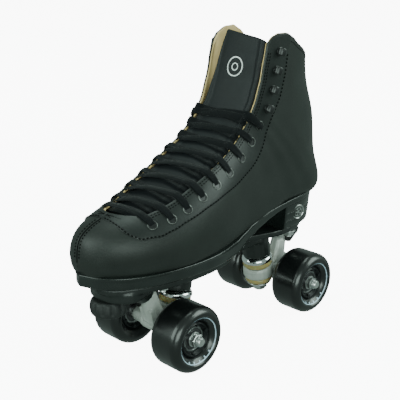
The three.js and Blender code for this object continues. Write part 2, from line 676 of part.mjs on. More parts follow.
function tyre() {
  const half = WHEEL_W / 2;
  const profile = [
    [15.5, -10], [20.5, -half + 1], [23, -half], [27, -half + 2.2], [WHEEL_R, -half + 7],
    [WHEEL_R, half - 7], [27, half - 2.2], [23, half], [20.5, half - 1], [15.5, 10],
  ].map(([r, x]) => [r * roundUp, x]);
  return placed(turned(profile, FLATS, Math.PI / FLATS), new THREE.Vector3(), ACROSS);
}

// The hub: a rim under the urethane and a web between the two bearing seats.
function hub() {
  const profile = [
    [13.6, -11.6], [15.2, -9.6], [15.2, 9.6], [13.6, 11.6], [11.3, 8.8],
    [11.3, 1.2], [6, 1.2], [6, -1.2], [11.3, -1.2], [11.3, -8.8],
  ];
  return placed(turned(profile, 18), new THREE.Vector3(), ACROSS);
}

// A 608 size bearing, 7 mm wide, made as one ring.
const bearing = () => placed(ring(AXLE_R + FIT, 11, -3.5, 3.5, 16), new THREE.Vector3(), ACROSS);
const BEARING_X = 5; // bearing centre from the wheel's middle plane
const axleWasher = () => placed(ring(AXLE_R + FIT, 6.3, -12, -8.8, 12), new THREE.Vector3(), ACROSS);
const axleNut = () => placed(hexNut(AXLE_R, 12.7, 8.8, 14.6), new THREE.Vector3(), ACROSS);

const WHEELS = TRUCKS.flatMap(({ name, axleY }) => [
  { name: `${name}_outer`, side: 1, y: axleY },
  { name: `${name}_inner`, side: -1, y: axleY },
]);

// ---------- toe stop ----------
const toeStopPad = () =>
  turned([[0, 54.5], [11.5, 54.5], [15, 57.5], [15.8, 62], [15.2, 68.4], [0, 68.4]], 22);
const toeStopStem = () => rod(8, 68.7, 78, 18);

// ---------- assembly ----------
const skate = new THREE.Group();
skate.position.y = -MIDDLE_Y;

function add(name, geometry, material, at = new THREE.Vector3()) {
  const mesh = new THREE.Mesh(geometry, material);
  mesh.name = name;
  mesh.position.copy(at);
  skate.add(mesh);
}

for (const [label, side] of [["outer", 1], ["inner", -1]]) {
  add(`${label}_quarter`, quarter(side), LEATHER);
  add(`${label}_facing`, facing(side), LEATHER);
  add(`${label}_hook_row`, hookRow(side), BLACK_METAL);
}
add("tongue", tongue(), LEATHER);
add("lace", lace(), LACE_COTTON);
add("insole", insole(), LINING);
add("outsole", outsole(), RUBBER);
add("heel_block", heelBlock(), RUBBER);

add("plate", plate(), NYLON);
for (const bolt of BOLTS) add(`mounting_bolt_${bolt.name}`, mountingBolt(bolt), STEEL);

for (const truck of TRUCKS) {
  add(`${truck.name}_hanger`, hanger(truck), CAST_ALLOY);
  add(`${truck.name}_axle`, placed(rod(AXLE_R, -54, 54, 12), new THREE.Vector3(), ACROSS), STEEL, truck.axle);
  for (const [piece, [material, shape]] of Object.entries(STACK))
    add(`${truck.name}_${piece}`, placed(shape(), truck.ringCentre, truck.kingpinUp), material);
  add(`${truck.name}_pivot_cup`, placed(pivotCup(), truck.pivot, truck.steerUp), NYLON);
}

for (const { name, side, y } of WHEELS) {
  const centre = new THREE.Vector3(side * WHEEL_X, y, WHEEL_R);
  const shifted = (x) => centre.clone().add(new THREE.Vector3(side * x, 0, 0));
  add(`${name}_tyre`, tyre(), URETHANE, centre);
  add(`${name}_hub`, hub(), HUB_PLASTIC, centre);
  add(`${name}_near_bearing`, bearing(), STEEL, shifted(-BEARING_X));
  add(`${name}_far_bearing`, bearing(), STEEL, shifted(BEARING_X));
  add(`${name}_axle_washer`, axleWasher().rotateZ(side > 0 ? 0 : Math.PI), STEEL, centre);
  add(`${name}_axle_nut`, axleNut().rotateZ(side > 0 ? 0 : Math.PI), STEEL, centre);
}

const stopCentre = new THREE.Vector3(0, TOE_STOP_Y, 0);
add("toe_stop_pad", toeStopPad(), RUBBER, stopCentre);
add("toe_stop_stem", toeStopStem(), STEEL, stopCentre);

export default skate;
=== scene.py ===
"""Looks for a quad roller skate: a laced leather boot on a nylon plate, two trucks, four wheels and a toe stop.

Shapes are written in millimetres in the CAD's design coordinates: +X is the outer side of the foot, the toe
points to -Y, +Z is up and the wheels stand on z = 0. in_frame() turns them into the row frame's metres.
"""

import math
import random

import bmesh
import bpy
import numpy as np
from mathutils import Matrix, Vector


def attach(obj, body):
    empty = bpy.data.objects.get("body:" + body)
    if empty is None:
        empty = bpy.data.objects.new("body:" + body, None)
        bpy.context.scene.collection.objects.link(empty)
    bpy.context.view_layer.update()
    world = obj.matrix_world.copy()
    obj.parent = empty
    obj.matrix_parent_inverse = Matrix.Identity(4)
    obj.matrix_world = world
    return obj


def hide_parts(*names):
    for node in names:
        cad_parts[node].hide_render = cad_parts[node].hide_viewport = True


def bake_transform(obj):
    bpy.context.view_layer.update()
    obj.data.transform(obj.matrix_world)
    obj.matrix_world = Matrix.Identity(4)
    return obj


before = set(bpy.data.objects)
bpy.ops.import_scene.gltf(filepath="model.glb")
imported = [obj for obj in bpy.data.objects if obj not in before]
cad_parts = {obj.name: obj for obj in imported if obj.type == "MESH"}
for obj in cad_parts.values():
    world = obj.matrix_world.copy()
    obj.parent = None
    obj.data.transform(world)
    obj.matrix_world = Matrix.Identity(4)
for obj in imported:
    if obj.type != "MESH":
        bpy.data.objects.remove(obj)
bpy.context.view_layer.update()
random.seed(7)

# ---------- driving dimensions, as in the CAD ----------
MM = 0.001
MIDDLE_Y = 3.25
WHEEL_R, WHEEL_X = 28.5, 36
FRONT_AXLE_Y, REAR_AXLE_Y = -57.5, 95.5
RING_BACK, RING_Z = 21, 35.2
PIVOT_OUT, PIVOT_Z = 17.5, 64
KINGPIN_TILT = math.radians(9.5)
KINGPIN_R, KING_BORE = 4.75, 5.2  # the bore is that of the cushions and retainers on it
AXLE_HALF, BEARING_OFFSET, BEARING_HALF = 54, 5, 3.5
PLATE_TOP, PLATE_T = 81.2, 5.2
TOE_STOP_Y = -107.5
HEEL_FRONT_Y = 77
LEATHER_T, LINING_T = 1.4, 1.6
FACING_LIFT = 0.7  # top of the facing above the quarter
THROAT, COLLAR = 4.15, 14
EYELET_U = [4.82, 5.46, 6.04, 6.62, 7.22, 7.84, 8.5, 9.2, 10.05]
HOOK_U = [11.1, 11.95, 12.8, 13.52]
EYELET_IN, HOOK_IN = 12, 14
BOLTS = {"front_outer": (24, -72), "front_inner": (-24, -72), "rear_outer": (21, 92), "rear_inner": (-21, 92)}
SIDES = {"outer": 1, "inner": -1}
BOOT = "boot_and_plate"
UP = Vector((0, 0, 1))
ACROSS = Vector((1, 0, 0))


# ---------- materials ----------
def node(tree, kind, **values):
    """A new node with values on some of its inputs; _ stands for a space in an input's name."""
    made = tree.nodes.new("ShaderNode" + kind)
    for name, value in values.items():
        made.inputs[name.replace("_", " ")].default_value = value
    return made


def shader(name, **sockets):
    """A Principled material with constants on its own sockets. Returns the material, its tree and the shader."""
    material = bpy.data.materials.new(name)
    material.use_nodes = True
    principled = material.node_tree.nodes["Principled BSDF"]
    for socket, value in sockets.items():
        principled.inputs[socket.replace("_", " ")].default_value = value
    return material, material.node_tree, principled


def laid_on(tree, texture):
    """Gives a texture the object's own coordinates."""
    tree.links.new(tree.nodes.new("ShaderNodeTexCoord").outputs["Object"], texture.inputs["Vector"])
    return texture


def ramp(tree, factor, *stops):
    made = node(tree, "ValToRGB")
    for element, (position, colour) in zip(made.color_ramp.elements, stops):
        element.position = position
        element.color = (*colour, 1)
    tree.links.new(factor, made.inputs["Fac"])
    return made.outputs["Color"]


def finish_of(name, dark, light, rough, metal=0.0, patch=60, spread=0.05, grain=None, depth=0.05, cells=False,
              edge_wear_and_highlight=None, **sockets):
    """A finish whose colour and roughness drift in patches, with a fine bumpy grain and paler edges: scuffs on most
    finishes, a painted highlight on the black metal.
    """
    material, tree, principled = shader(name, Roughness=rough, Metallic=metal, **sockets)
    link = tree.links.new
    patches = laid_on(tree, node(tree, "TexNoise", Scale=patch, Detail=3.0))
    colour = ramp(tree, patches.outputs["Fac"], (0.3, dark), (0.7, light))
    # Convex edges turn paler by pointiness: scuffing where the thing is rubbed, and on the black metal a painted edge
    # highlight.
    if edge_wear_and_highlight:
        pale_edge_mask = node(tree, "MapRange", From_Min=0.53, From_Max=0.62, To_Max=0.7)
        link(node(tree, "NewGeometry").outputs["Pointiness"], pale_edge_mask.inputs["Value"])
        mix = node(tree, "MixRGB", Color2=(*edge_wear_and_highlight, 1))
        link(pale_edge_mask.outputs["Result"], mix.inputs["Fac"])
        link(colour, mix.inputs["Color1"])
        colour = mix.outputs["Color"]
    link(colour, principled.inputs["Base Color"])
    drift = node(tree, "MapRange", To_Min=rough - spread, To_Max=rough + spread)
    link(laid_on(tree, node(tree, "TexNoise", Scale=patch * 3, Detail=3.0)).outputs["Fac"], drift.inputs["Value"])
    link(drift.outputs["Result"], principled.inputs["Roughness"])
    if grain:
        if cells:
            height = laid_on(tree, node(tree, "TexVoronoi", Scale=grain)).outputs["Distance"]
        else:
            height = laid_on(tree, node(tree, "TexNoise", Scale=grain, Detail=3.0)).outputs["Fac"]
        bump = node(tree, "Bump", Distance=depth * MM, Strength=0.6)
        link(height, bump.inputs["Height"])
        link(bump.outputs["Normal"], principled.inputs["Normal"])
    return material


def woven(name, dark, light, rough, threads_per_mm, depth):
    """Flat woven cotton: slanting threads that mirror about the ribbon's middle, from its own UVs in mm."""
    material, tree, principled = shader(name, Roughness=rough, Sheen_Weight=0.08, Sheen_Roughness=0.4,
                                        Specular_IOR_Level=0.18)
    link = tree.links.new
    parts = node(tree, "SeparateXYZ")
    link(node(tree, "TexCoord").outputs["UV"], parts.inputs["Vector"])
    mirrored = node(tree, "Math")
    mirrored.operation = "ABSOLUTE"
    link(parts.outputs["X"], mirrored.inputs[0])
    joined = node(tree, "CombineXYZ")
    link(mirrored.outputs["Value"], joined.inputs["X"])
    link(parts.outputs["Y"], joined.inputs["Y"])
    wave = node(tree, "TexWave", Scale=threads_per_mm, Distortion=0.6, Detail=1.0)
    wave.bands_direction = "DIAGONAL"
    link(joined.outputs["Vector"], wave.inputs["Vector"])
    link(ramp(tree, wave.outputs["Fac"], (0.15, dark), (0.85, light)), principled.inputs["Base Color"])
    bump = node(tree, "Bump", Distance=depth * MM)
    link(wave.outputs["Fac"], bump.inputs["Height"])
    link(bump.outputs["Normal"], principled.inputs["Normal"])
    return material


LEATHER = finish_of("leather", (0.0092, 0.0115, 0.0102), (0.0135, 0.017, 0.015), 0.48, spread=0.07, patch=35,
                    grain=1100, depth=0.09, cells=True, Specular_IOR_Level=0.4)
FACING_LEATHER = finish_of("facing_leather", (0.0075, 0.0095, 0.009), (0.0115, 0.0145, 0.0135), 0.4, spread=0.06,
                           patch=45, grain=1200, depth=0.08, cells=True, Specular_IOR_Level=0.4)
TONGUE_LEATHER = finish_of("tongue_leather", (0.0028, 0.0042, 0.0054), (0.0044, 0.0062, 0.008), 0.58, spread=0.05,
                           patch=40, grain=1300, depth=0.06, cells=True, Specular_IOR_Level=0.38)
LINING = finish_of("lining", (0.52, 0.37, 0.16), (0.68, 0.50, 0.25), 0.75, patch=70, grain=900, depth=0.08)
THREAD = finish_of("thread", (0.0008, 0.001, 0.001), (0.002, 0.0026, 0.0026), 0.85, patch=600, grain=3000, depth=0.05,
                   Specular_IOR_Level=0.12)
COTTON = woven("lace_cotton", (0.0018, 0.0026, 0.0032), (0.0042, 0.0058, 0.007), 0.9, 0.6, 0.2)
# The black metal's paler edges are a painted highlight on the hooks, eyelet cups and badge inlay, partly scuffing.
BLACK_METAL = finish_of("black_metal", (0.003, 0.0034, 0.0036), (0.006, 0.0066, 0.007), 0.36, 0.0, patch=200,
                        edge_wear_and_highlight=(0.015, 0.016, 0.016))
NICKEL = finish_of("nickel", (0.12, 0.125, 0.12), (0.19, 0.2, 0.19), 0.3, 1.0, patch=300)
BADGE_METAL = finish_of("badge_metal", (0.48, 0.49, 0.48), (0.6, 0.61, 0.6), 0.24, 1.0, patch=300)
SOLE_BLACK = finish_of("sole_black", (0.0065, 0.009, 0.008), (0.011, 0.0145, 0.0135), 0.26, spread=0.06, patch=50,
                       grain=1500, depth=0.03, Specular_IOR_Level=0.6)
PLATE_NYLON = finish_of("plate_nylon", (0.006, 0.008, 0.0075), (0.0105, 0.0135, 0.0125), 0.36, spread=0.08, patch=60,
                        grain=1800, depth=0.06, edge_wear_and_highlight=(0.018, 0.02, 0.019))
CAST_ALLOY = finish_of("cast_alloy", (0.42, 0.44, 0.41), (0.54, 0.56, 0.53), 0.5, 0.3, patch=120,
                       grain=2200, depth=0.12, edge_wear_and_highlight=(0.75, 0.76, 0.74))
ZINC = finish_of("zinc_steel", (0.55, 0.57, 0.56), (0.72, 0.73, 0.72), 0.3, 1.0, patch=220, grain=3000, depth=0.02)
CHROME = finish_of("bright_chrome", (0.74, 0.76, 0.78), (0.84, 0.85, 0.86), 0.07, 1.0, patch=90, spread=0.02)
CUSHION = finish_of("cushion_urethane", (0.30, 0.235, 0.085), (0.42, 0.34, 0.15), 0.3, patch=90, spread=0.06,
                    grain=500, depth=0.04, Subsurface_Weight=0.25, Subsurface_Scale=0.004)
PIVOT_NYLON = finish_of("pivot_nylon", (0.012, 0.012, 0.012), (0.02, 0.02, 0.02), 0.45, patch=300)
URETHANE = finish_of("wheel_urethane", (0.0035, 0.004, 0.0042), (0.006, 0.007, 0.0072), 0.3, patch=40, spread=0.05,
                     grain=260, depth=0.02, Coat_Weight=0.3, Coat_Roughness=0.08)
HUB_PLASTIC = finish_of("hub_plastic", (0.003, 0.004, 0.0048), (0.006, 0.007, 0.008), 0.42, patch=150,
                        Specular_IOR_Level=0.3)
SHIELD = finish_of("bearing_shield", (0.012, 0.012, 0.013), (0.025, 0.025, 0.027), 0.35, patch=300)
BEARING_STEEL = finish_of("bearing_steel", (0.2, 0.21, 0.21), (0.3, 0.31, 0.31), 0.3, 1.0, patch=300)
STOP_RUBBER = finish_of("stop_rubber", (0.005, 0.0063, 0.0062), (0.0105, 0.0125, 0.012), 0.6, spread=0.1, patch=90,
                        grain=1400, depth=0.1, edge_wear_and_highlight=(0.02, 0.022, 0.021))
WHITE_PRINT = finish_of("white_print", (0.72, 0.74, 0.74), (0.82, 0.83, 0.83), 0.5, patch=400, grain=1800, depth=0.03)
BLUE_PRINT = finish_of("blue_print", (0.42, 0.56, 0.68), (0.55, 0.68, 0.8), 0.4, patch=400)
FLOOR = finish_of("floor", (0.88, 0.89, 0.89), (0.92, 0.925, 0.925), 0.75, patch=3, spread=0.05, grain=30,
                  depth=0.3, Emission_Color=(1, 1, 1, 1), Emission_Strength=9.0)


# ---------- mesh helpers ----------
def in_frame(points):
    return (np.asarray(points, float).reshape(-1, 3) - (0, MIDDLE_Y, 0)) * MM


class Shape:
    """Points in design millimetres and faces, gathered from several shapes into one piece."""

    def __init__(self, *shapes):
        self.points, self.faces, self.uvs = [], [], []
        for shape in shapes:
            self.join(shape)

    def add(self, points, faces, uvs=None):
        base = len(self.points)
        points = np.asarray(points, float).reshape(-1, 3)
        self.points.extend(points.tolist())
        self.faces.extend([[i + base for i in face] for face in faces])
        self.uvs.extend(uvs if uvs is not None else [(0.0, 0.0)] * len(points))
        return self

    def join(self, shape):
        return self.add(shape.points, shape.faces, shape.uvs)


def piece(name, shape, material, body, replaces=(), sharp=40):
    """Makes a shown piece that moves with `body`. Edges sharper than `sharp` degrees stay crisp."""
    mesh = bpy.data.meshes.new(name)
    mesh.from_pydata(in_frame(shape.points).tolist(), [], shape.faces)
    layer = mesh.uv_layers.new(name="UVMap")
    used = np.zeros(len(mesh.loops), np.int32)
    mesh.loops.foreach_get("vertex_index", used)
    layer.data.foreach_set("uv", np.array(shape.uvs, np.float32)[used].ravel())
    edit = bmesh.new()
    edit.from_mesh(mesh)
    bmesh.ops.remove_doubles(edit, verts=edit.verts, dist=2e-6)
    bmesh.ops.dissolve_degenerate(edit, edges=edit.edges, dist=1e-6)
    bmesh.ops.recalc_face_normals(edit, faces=edit.faces)
    edit.to_mesh(mesh)
    edit.free()
    return finished(name, mesh, material, body, replaces, sharp)


def finished(name, mesh, material, body, replaces, sharp):
    mesh.materials.clear()
    mesh.materials.append(material)
    mesh.shade_smooth()
    mesh.set_sharp_from_angle(angle=math.radians(sharp))
    obj = bpy.data.objects.new(name, mesh)
    bpy.context.scene.collection.objects.link(obj)
    if body:
        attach(obj, body)
    if replaces:
        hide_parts(*replaces)
    return obj


def grid_faces(rows, columns, round_rows=False, round_columns=False):
    faces = []
    for i in range(rows if round_rows else rows - 1):
        for j in range(columns if round_columns else columns - 1):
            k, m = (i + 1) % rows, (j + 1) % columns
            faces.append([i * columns + j, i * columns + m, k * columns + m, k * columns + j])
    return faces


def tube_faces(rings, sides):
    """The faces of a closed tube of rings, with an end cap on each end."""
    last = (rings - 1) * sides
    return grid_faces(rings, sides, False, True) + [list(range(sides))[::-1], [last + i for i in range(sides)]]


def closed_sheet(top, bottom):
    """A closed shape from two matching grids of points whose borders are joined."""
    rows, columns = top.shape[:2]
    count = rows * columns
    faces = grid_faces(rows, columns)
    faces += [[i + count for i in reversed(face)] for face in grid_faces(rows, columns)]
    border = list(range(columns)) + [i * columns + columns - 1 for i in range(1, rows)]
    border += [(rows - 1) * columns + j for j in range(columns - 2, -1, -1)]
    border += [i * columns for i in range(rows - 2, 0, -1)]
    for a, b in zip(border, border[1:] + border[:1]):
        faces.append([b, a, a + count, b + count])
    return Shape().add(np.concatenate([top.reshape(-1, 3), bottom.reshape(-1, 3)]), faces)


def run_of(points):
    """The distance along a line of points to each of them."""
    return np.concatenate([[0], np.cumsum(np.linalg.norm(np.diff(points, axis=0), axis=1))])


def turn_to(direction):
    """A matrix whose columns carry the X, Y and Z of a shape made about +Z onto `direction`."""
    return np.array(UP.rotation_difference(Vector(direction).normalized()).to_matrix())


def filleted(profile, radius, steps=4):
    """A closed outline of (a, b) or (a, b, radius) points with its corners rounded."""
    out = []
    for i, corner in enumerate(profile):
        here = np.array(corner[:2], float)
        reach = corner[2] if len(corner) > 2 else radius
        ends = [np.array(profile[i - 1][:2], float), np.array(profile[(i + 1) % len(profile)][:2], float)]
        if reach <= 0 or here[0] <= 1e-6:
            out.append(tuple(here))
            continue
        a, b = [
            here + (end - here) / max(np.linalg.norm(end - here), 1e-9) * min(reach, 0.45 * np.linalg.norm(end - here))
            for end in ends
        ]
        for k in range(steps + 1):
            t = k / steps
            out.append(tuple((1 - t) ** 2 * a + 2 * t * (1 - t) * here + t * t * b))
    return out


def lathe(profile, at=(0, 0, 0), axis=UP, segments=64, ripple=None):
    """A closed outline of (radius, height) points turned about `axis` at `at`. ripple(angle, height) scales radii."""
    angles = [2 * math.pi * k / segments for k in range(segments)]
    points = [
        (r * (ripple(a, h) if ripple else 1) * math.cos(a), r * (ripple(a, h) if ripple else 1) * math.sin(a), h)
        for a in angles
        for r, h in profile
    ]
    faces = grid_faces(segments, len(profile), True, True)
    return Shape().add(np.array(points) @ turn_to(axis).T + np.array(at), faces)


def prism(outline, low, high, at=(0, 0, 0), axis=UP, bevel=0.4):
    """A convex outline of (x, y) points raised from low to high along `axis`, with bevelled rims."""
    flat = np.array(outline, float)
    middle = flat.mean(0)
    reach = np.abs(flat - middle).max()
    inner = middle + (flat - middle) * (1 - bevel / reach)
    rings = [(inner, low), (flat, low + bevel), (flat, high - bevel), (inner, high)]
    points = [(x, y, h) for ring, h in rings for x, y in ring]
    return Shape().add(np.array(points) @ turn_to(axis).T + np.array(at), tube_faces(4, len(flat)))


def hexagon(across, turn=0.0):
    radius = across / math.sqrt(3)
    return [(radius * math.cos(turn + k * math.pi / 3), radius * math.sin(turn + k * math.pi / 3)) for k in range(6)]


def threaded(radius, low, high, pitch=1.2, depth=0.35):
    """Half an outline for a threaded rod: (radius, height) points with a ridge each pitch."""
    ridges = max(1, int((high - low) / pitch))
    step = (high - low) / ridges
    points = []
    for k in range(ridges):
        points += [(radius - depth, low + k * step), (radius, low + (k + 0.5) * step)]
    return points + [(radius - depth, high)]


# ---------- the boot's surface, as in the CAD but for the shaft's back and the inner collar ----------
# yD, zD, yB, zB, outer half-width, inner half-width, widest share, squareness below, above, x of the plane
STATIONS = np.array([
    [-130.5, 100, -130.5, 100, 0, 0, 0.5, 2.2, 2.2, -8.5],
    [-129.5, 113, -126, 90, 14, 12, 0.45, 3, 2.1, -8.5],
    [-126, 122, -118, 89.5, 22, 18.5, 0.4, 4.5, 2.1, -8],
    [-117.5, 129, -105.5, 89.5, 31, 26.5, 0.38, 6, 2.1, -6.5],
    [-103.8, 135, -89.8, 89.5, 38.5, 33.5, 0.36, 6, 2.1, -4.5],
    [-85, 142, -71, 89.5, 43.5, 38.5, 0.35, 6, 2.1, -2.5],
    [-60, 153, -48, 89.5, 45.5, 41, 0.35, 6, 2.2, -1],
    [-34, 166, -15, 91, 43.5, 38, 0.37, 5.5, 2.4, 0],
    [-12, 179, 26, 96.5, 37.5, 34.5, 0.42, 5.5, 2.6, 0],
    [3, 192, 80, 107, 34, 34, 0.46, 6, 2.8, 0],
    [11, 205, 132, 108.3, 33.5, 34.5, 0.5, 4, 3, 0],
    [16, 216, 135, 140, 33.5, 35, 0.52, 2.4, 3, 0],
    [22, 229, 132, 178, 33, 35.5, 0.54, 2.2, 3.1, 0],
    [29, 244, 119, 212, 33, 36, 0.55, 2.2, 3.2, 0],
    [37, 263, 113, 243, 33.5, 36, 0.55, 2.2, 3.2, 0],
    [46, 284, 106, 274, 34, 36.5, 0.55, 2.2, 3.2, 0],
])
GAP = [
    [4.15, 0], [4.25, 8], [4.45, 15], [4.7, 20.5], [5, 25], [5.5, 28.5], [6, 30.5], [7, 32.2],
    [8, 33.3], [9, 34], [10, 36], [11, 37.2], [12, 36.5], [13, 34], [14, 31.5], [15, 29],
]
FACING = [
    [0, 20], [3.2, 30], [3.75, 33], [4.3, 40.5], [5, 46.7], [5.6, 49.5], [6.4, 52.7], [7.1, 55.3],
    [8.1, 59.4], [8.8, 61.6], [9.3, 61], [10, 58.6], [10.7, 59.2], [11.9, 62], [12.8, 60.9],
    [13.6, 57.4], [15, 54],
]
COLLAR_RISE = {
    1: [[0, -0.32], [0.05, 0], [0.1, 0.13], [0.2, 0.2], [0.3, 0.12], [0.4, -0.02], [0.5, -0.1], [0.6, -0.18],
        [0.8, -0.26], [1, -0.3]],
    -1: [[0, -0.6], [0.05, -0.3], [0.1, -0.08], [0.2, 0.18], [0.3, 0.26], [0.4, 0.18], [0.5, 0],
         [0.6, -0.14], [0.75, -0.25], [1, -0.3]],
}
# how far the inner side's lacing edge stands off the surface, by station, fading out within FLARE_WIDTH
FLARE = [[4.4, 0], [5, -1.5], [5.8, 0], [6.6, 2], [7.8, 5], [9, 4.5], [10, 3.5], [11, 2], [12.5, 0]]
FLARE_WIDTH = 16
THROAT_FLAT = [[4, 0.3], [5, 0.55], [7.5, 0.6], [10, 0.85], [12, 0.9], [14, 0.9]]  # how flat lace and tongue lie
ARC_STEPS = 90


def smooth(knots, at):
    """A smooth value through (place, value) knots, for an array of places."""
    places, values = np.array(knots, float).T
    at = np.asarray(at, float)
    i = np.clip(np.searchsorted(places, at, side="left") - 1, 0, len(places) - 2)
    t = np.clip((at - places[i]) / (places[i + 1] - places[i]), 0, 1)
    return values[i] + (values[i + 1] - values[i]) * (0.5 * t + 0.5 * t * t * (3 - 2 * t))


def station(u):
    u = np.asarray(u, float)
    i = np.clip(np.floor(u).astype(int), 0, len(STATIONS) - 2)
    t = (u - i)[..., None]
    p0, p1, p2, p3 = [STATIONS[np.clip(i + k, 0, len(STATIONS) - 1)] for k in (-1, 0, 1, 2)]
    return 0.5 * (
        2 * p1 + (p2 - p0) * t + (2 * p0 - 5 * p1 + 4 * p2 - p3) * t**2 + (3 * p1 - p0 - 3 * p2 + p3) * t**3
    )


def boot_point(u, angle):
    """Points on the boot's outside. Angle 0 is the top line, pi the bottom line, positive on the outer side."""
    y_d, z_d, y_b, z_b, outer, inner, widest, below, above, middle = np.moveaxis(station(u), -1, 0)
    c, s = np.cos(angle), np.sin(angle)
    power = np.where(c >= 0, above, below)
    k = (np.abs(c) ** power + np.abs(s) ** power) ** (-1 / power)
    share = widest + np.where(c >= 0, 1 - widest, widest) * c * k
    return np.stack(
        [middle + np.where(s >= 0, outer, inner) * s * k, y_b + (y_d - y_b) * share, z_b + (z_d - z_b) * share], -1
    )


def arc_lengths(u, side):
    angles = side * np.pi * np.arange(ARC_STEPS + 1) / ARC_STEPS
    points = boot_point(np.repeat(u[:, None], ARC_STEPS + 1, 1), angles[None, :] + 0 * u[:, None])
    steps = np.linalg.norm(np.diff(points, axis=1), axis=2)
    return np.concatenate([np.zeros((len(u), 1)), np.cumsum(steps, 1)], 1)


def section_length(u, side):
    return arc_lengths(np.atleast_1d(np.asarray(u, float)), side)[:, -1]


def angle_at(u, distance):
    """The angle of a point `distance` round from the top line; a negative distance is on the inner side."""
    u, distance = np.broadcast_arrays(np.asarray(u, float), np.asarray(distance, float))
    flat_u, flat_d = u.ravel(), distance.ravel()
    angle = np.zeros(len(flat_u))
    for side in (1, -1):
        chosen = np.nonzero(flat_d >= 0 if side > 0 else flat_d < 0)[0]
        if len(chosen) == 0:
            continue
        lengths = arc_lengths(flat_u[chosen], side)
        reach = np.abs(flat_d[chosen])
        i = np.clip((lengths < reach[:, None]).sum(1), 1, ARC_STEPS)
        row = np.arange(len(chosen))
        before, after = lengths[row, i - 1], lengths[row, i]
        t = np.clip((reach - before) / np.maximum(after - before, 1e-9), 0, 1)
        angle[chosen] = side * np.pi * (i - 1 + t) / ARC_STEPS
    return angle.reshape(u.shape)


def boot_normal(u, angle):
    h = 0.02
    along = boot_point(u + h, angle) - boot_point(np.maximum(u - h, 0.01), angle)
    around = boot_point(u, angle + h) - boot_point(u, angle - h)
    normal = np.cross(around, along)
    normal /= np.maximum(np.linalg.norm(normal, axis=-1, keepdims=True), 1e-9)
    outward = boot_point(u, angle) - 0.5 * (boot_point(u, 0 * angle) + boot_point(u, 0 * angle + np.pi))
    normal = normal * np.sign((normal * outward).sum(-1, keepdims=True))
    tip = (np.asarray(u) < 0.05)[..., None]
    return np.where(tip, np.array([0.0, -1.0, 0.0]), normal)


def on_boot(u, distance, lift=0.0):
    """Points `distance` round from the top line (negative on the inner side), lifted off the surface."""
    u, distance, lift = np.broadcast_arrays(*[np.asarray(v, float) for v in (u, distance, lift)])
    angle = angle_at(u, distance)
    flare = np.where(distance < 0, smooth(FLARE, u) * np.exp(-((-distance - gap_edge(u)) / FLARE_WIDTH) ** 2), 0)
    return boot_point(u, angle) + boot_normal(u, angle) * (lift + flare)[..., None]


def gap_edge(u):
    u = np.asarray(u, float)
    return np.where(u <= THROAT, 0.0, smooth(GAP, u))


def upper_place(side, level, share):
    """Station and distance of a place on the upper. share runs 0 to 0.25 over the facing, then on to the sole."""
    near_collar = np.clip((level - 12.9) / (COLLAR - 12.9), 0, 1)
    u = level + near_collar * smooth(COLLAR_RISE[side], share)
    length = section_length(u.ravel(), side).reshape(u.shape)
    edge = np.maximum(smooth(FACING, u), 0.15 * length)
    gap = gap_edge(u)
    return u, np.where(share <= 0.25, gap + (edge - gap) * share * 4, edge + (length - edge) * (share - 0.25) / 0.75)


def over_throat(u, distance, lift):
    """Like on_boot, but between the lacing edges it drops towards the straight line from edge to edge."""
    u, distance, lift = np.broadcast_arrays(*[np.asarray(v, float) for v in (u, distance, lift)])
    gap = gap_edge(u)
    point = on_boot(u, distance, lift)
    edges = [on_boot(u, side * gap, lift) for side in (-1, 1)]
    open_share = np.maximum(0, 1 - np.abs(distance) / gap)
    along = (point[..., 0] - edges[0][..., 0]) / (edges[1][..., 0] - edges[0][..., 0])
    chord = edges[0] + (edges[1] - edges[0]) * along[..., None]
    return point + (chord - point) * (smooth(THROAT_FLAT, u) * np.minimum(1, 3 * open_share))[..., None]


def rounding(depth, radius):
    """How full a sheet's thickness is at this depth in from its edge: 0 on the edge, 1 from `radius` in."""
    t = 1 - np.clip(depth / radius, 0, 1)
    return np.sqrt(np.maximum(0, 1 - t * t))


EDGE_SHARES = [0, 0.03, 0.13, 0.32, 0.6, 1.0]  # rows that round off a sheet's edge, as shares of its radius


def upper_sheet(side, levels, shares, low, high, radius, ease=0.0, wave=0.0, sweep=0.0):
    """A layer of the upper between two lifts, with rounded lacing, collar and outer edges.

    ease lets the layer stand past the lacing edge and collar; wave adds soft hand-lasted unevenness; sweep draws
    the front edge of a facing back towards its outer corner."""
    level, share = np.meshgrid(levels, shares, indexing="ij")
    level = level + sweep * (share * 4) ** 8 * np.clip((4.6 - level) / 0.88, 0, 1)
    u, distance = upper_place(side, level, share)
    per_level = 20.6 + 11 * share
    from_gap = distance - gap_edge(u)
    from_collar = (COLLAR - level) * per_level
    depth = np.minimum(from_gap, from_collar)
    if shares[-1] < 0.5:
        depth = np.minimum(depth, distance[:, -1:] - distance)
        depth = np.minimum(depth, (level - level[:1]) * per_level)
    opened = np.clip((level - THROAT) * 4, 0, 1)
    distance = distance - ease * np.exp(-from_gap / 5) * opened
    u = u + ease * 0.2 / per_level * np.exp(-from_collar / 5)
    middle = station(u)[..., 9]
    full = rounding(depth, radius)
    half = (high - low) / 2
    uneven = wave * (
        np.sin(0.9 * u * 2.1 + distance * 0.05) * 0.5
        + np.exp(-((u - 9.4) / 1.3) ** 2) * np.sin(u * 9 + distance * 0.09 * side) * 0.8
    ) * np.clip(depth / 12, 0, 1)
    skins = []
    for sign in (1, -1):
        lift = (low + high) / 2 + sign * half * full + uneven
        points = on_boot(u, side * np.maximum(distance, 0), lift)
        points[..., 0] = middle + side * np.maximum(side * (points[..., 0] - middle), 0.08)
        skins.append(points)
    return closed_sheet(*skins)


def edge_rows(first, last, step, first_edge=0.0, last_edge=0.0):
    """Evenly spaced places from first to last, with extra ones for a rounded edge at either end."""
    start = [first + first_edge * s for s in EDGE_SHARES] if first_edge else [first]
    end = [last - last_edge * s for s in EDGE_SHARES][::-1] if last_edge else [last]
    count = max(2, round((end[0] - start[-1]) / step))
    return start[:-1] + list(np.linspace(start[-1], end[0], count + 1)) + end[1:]


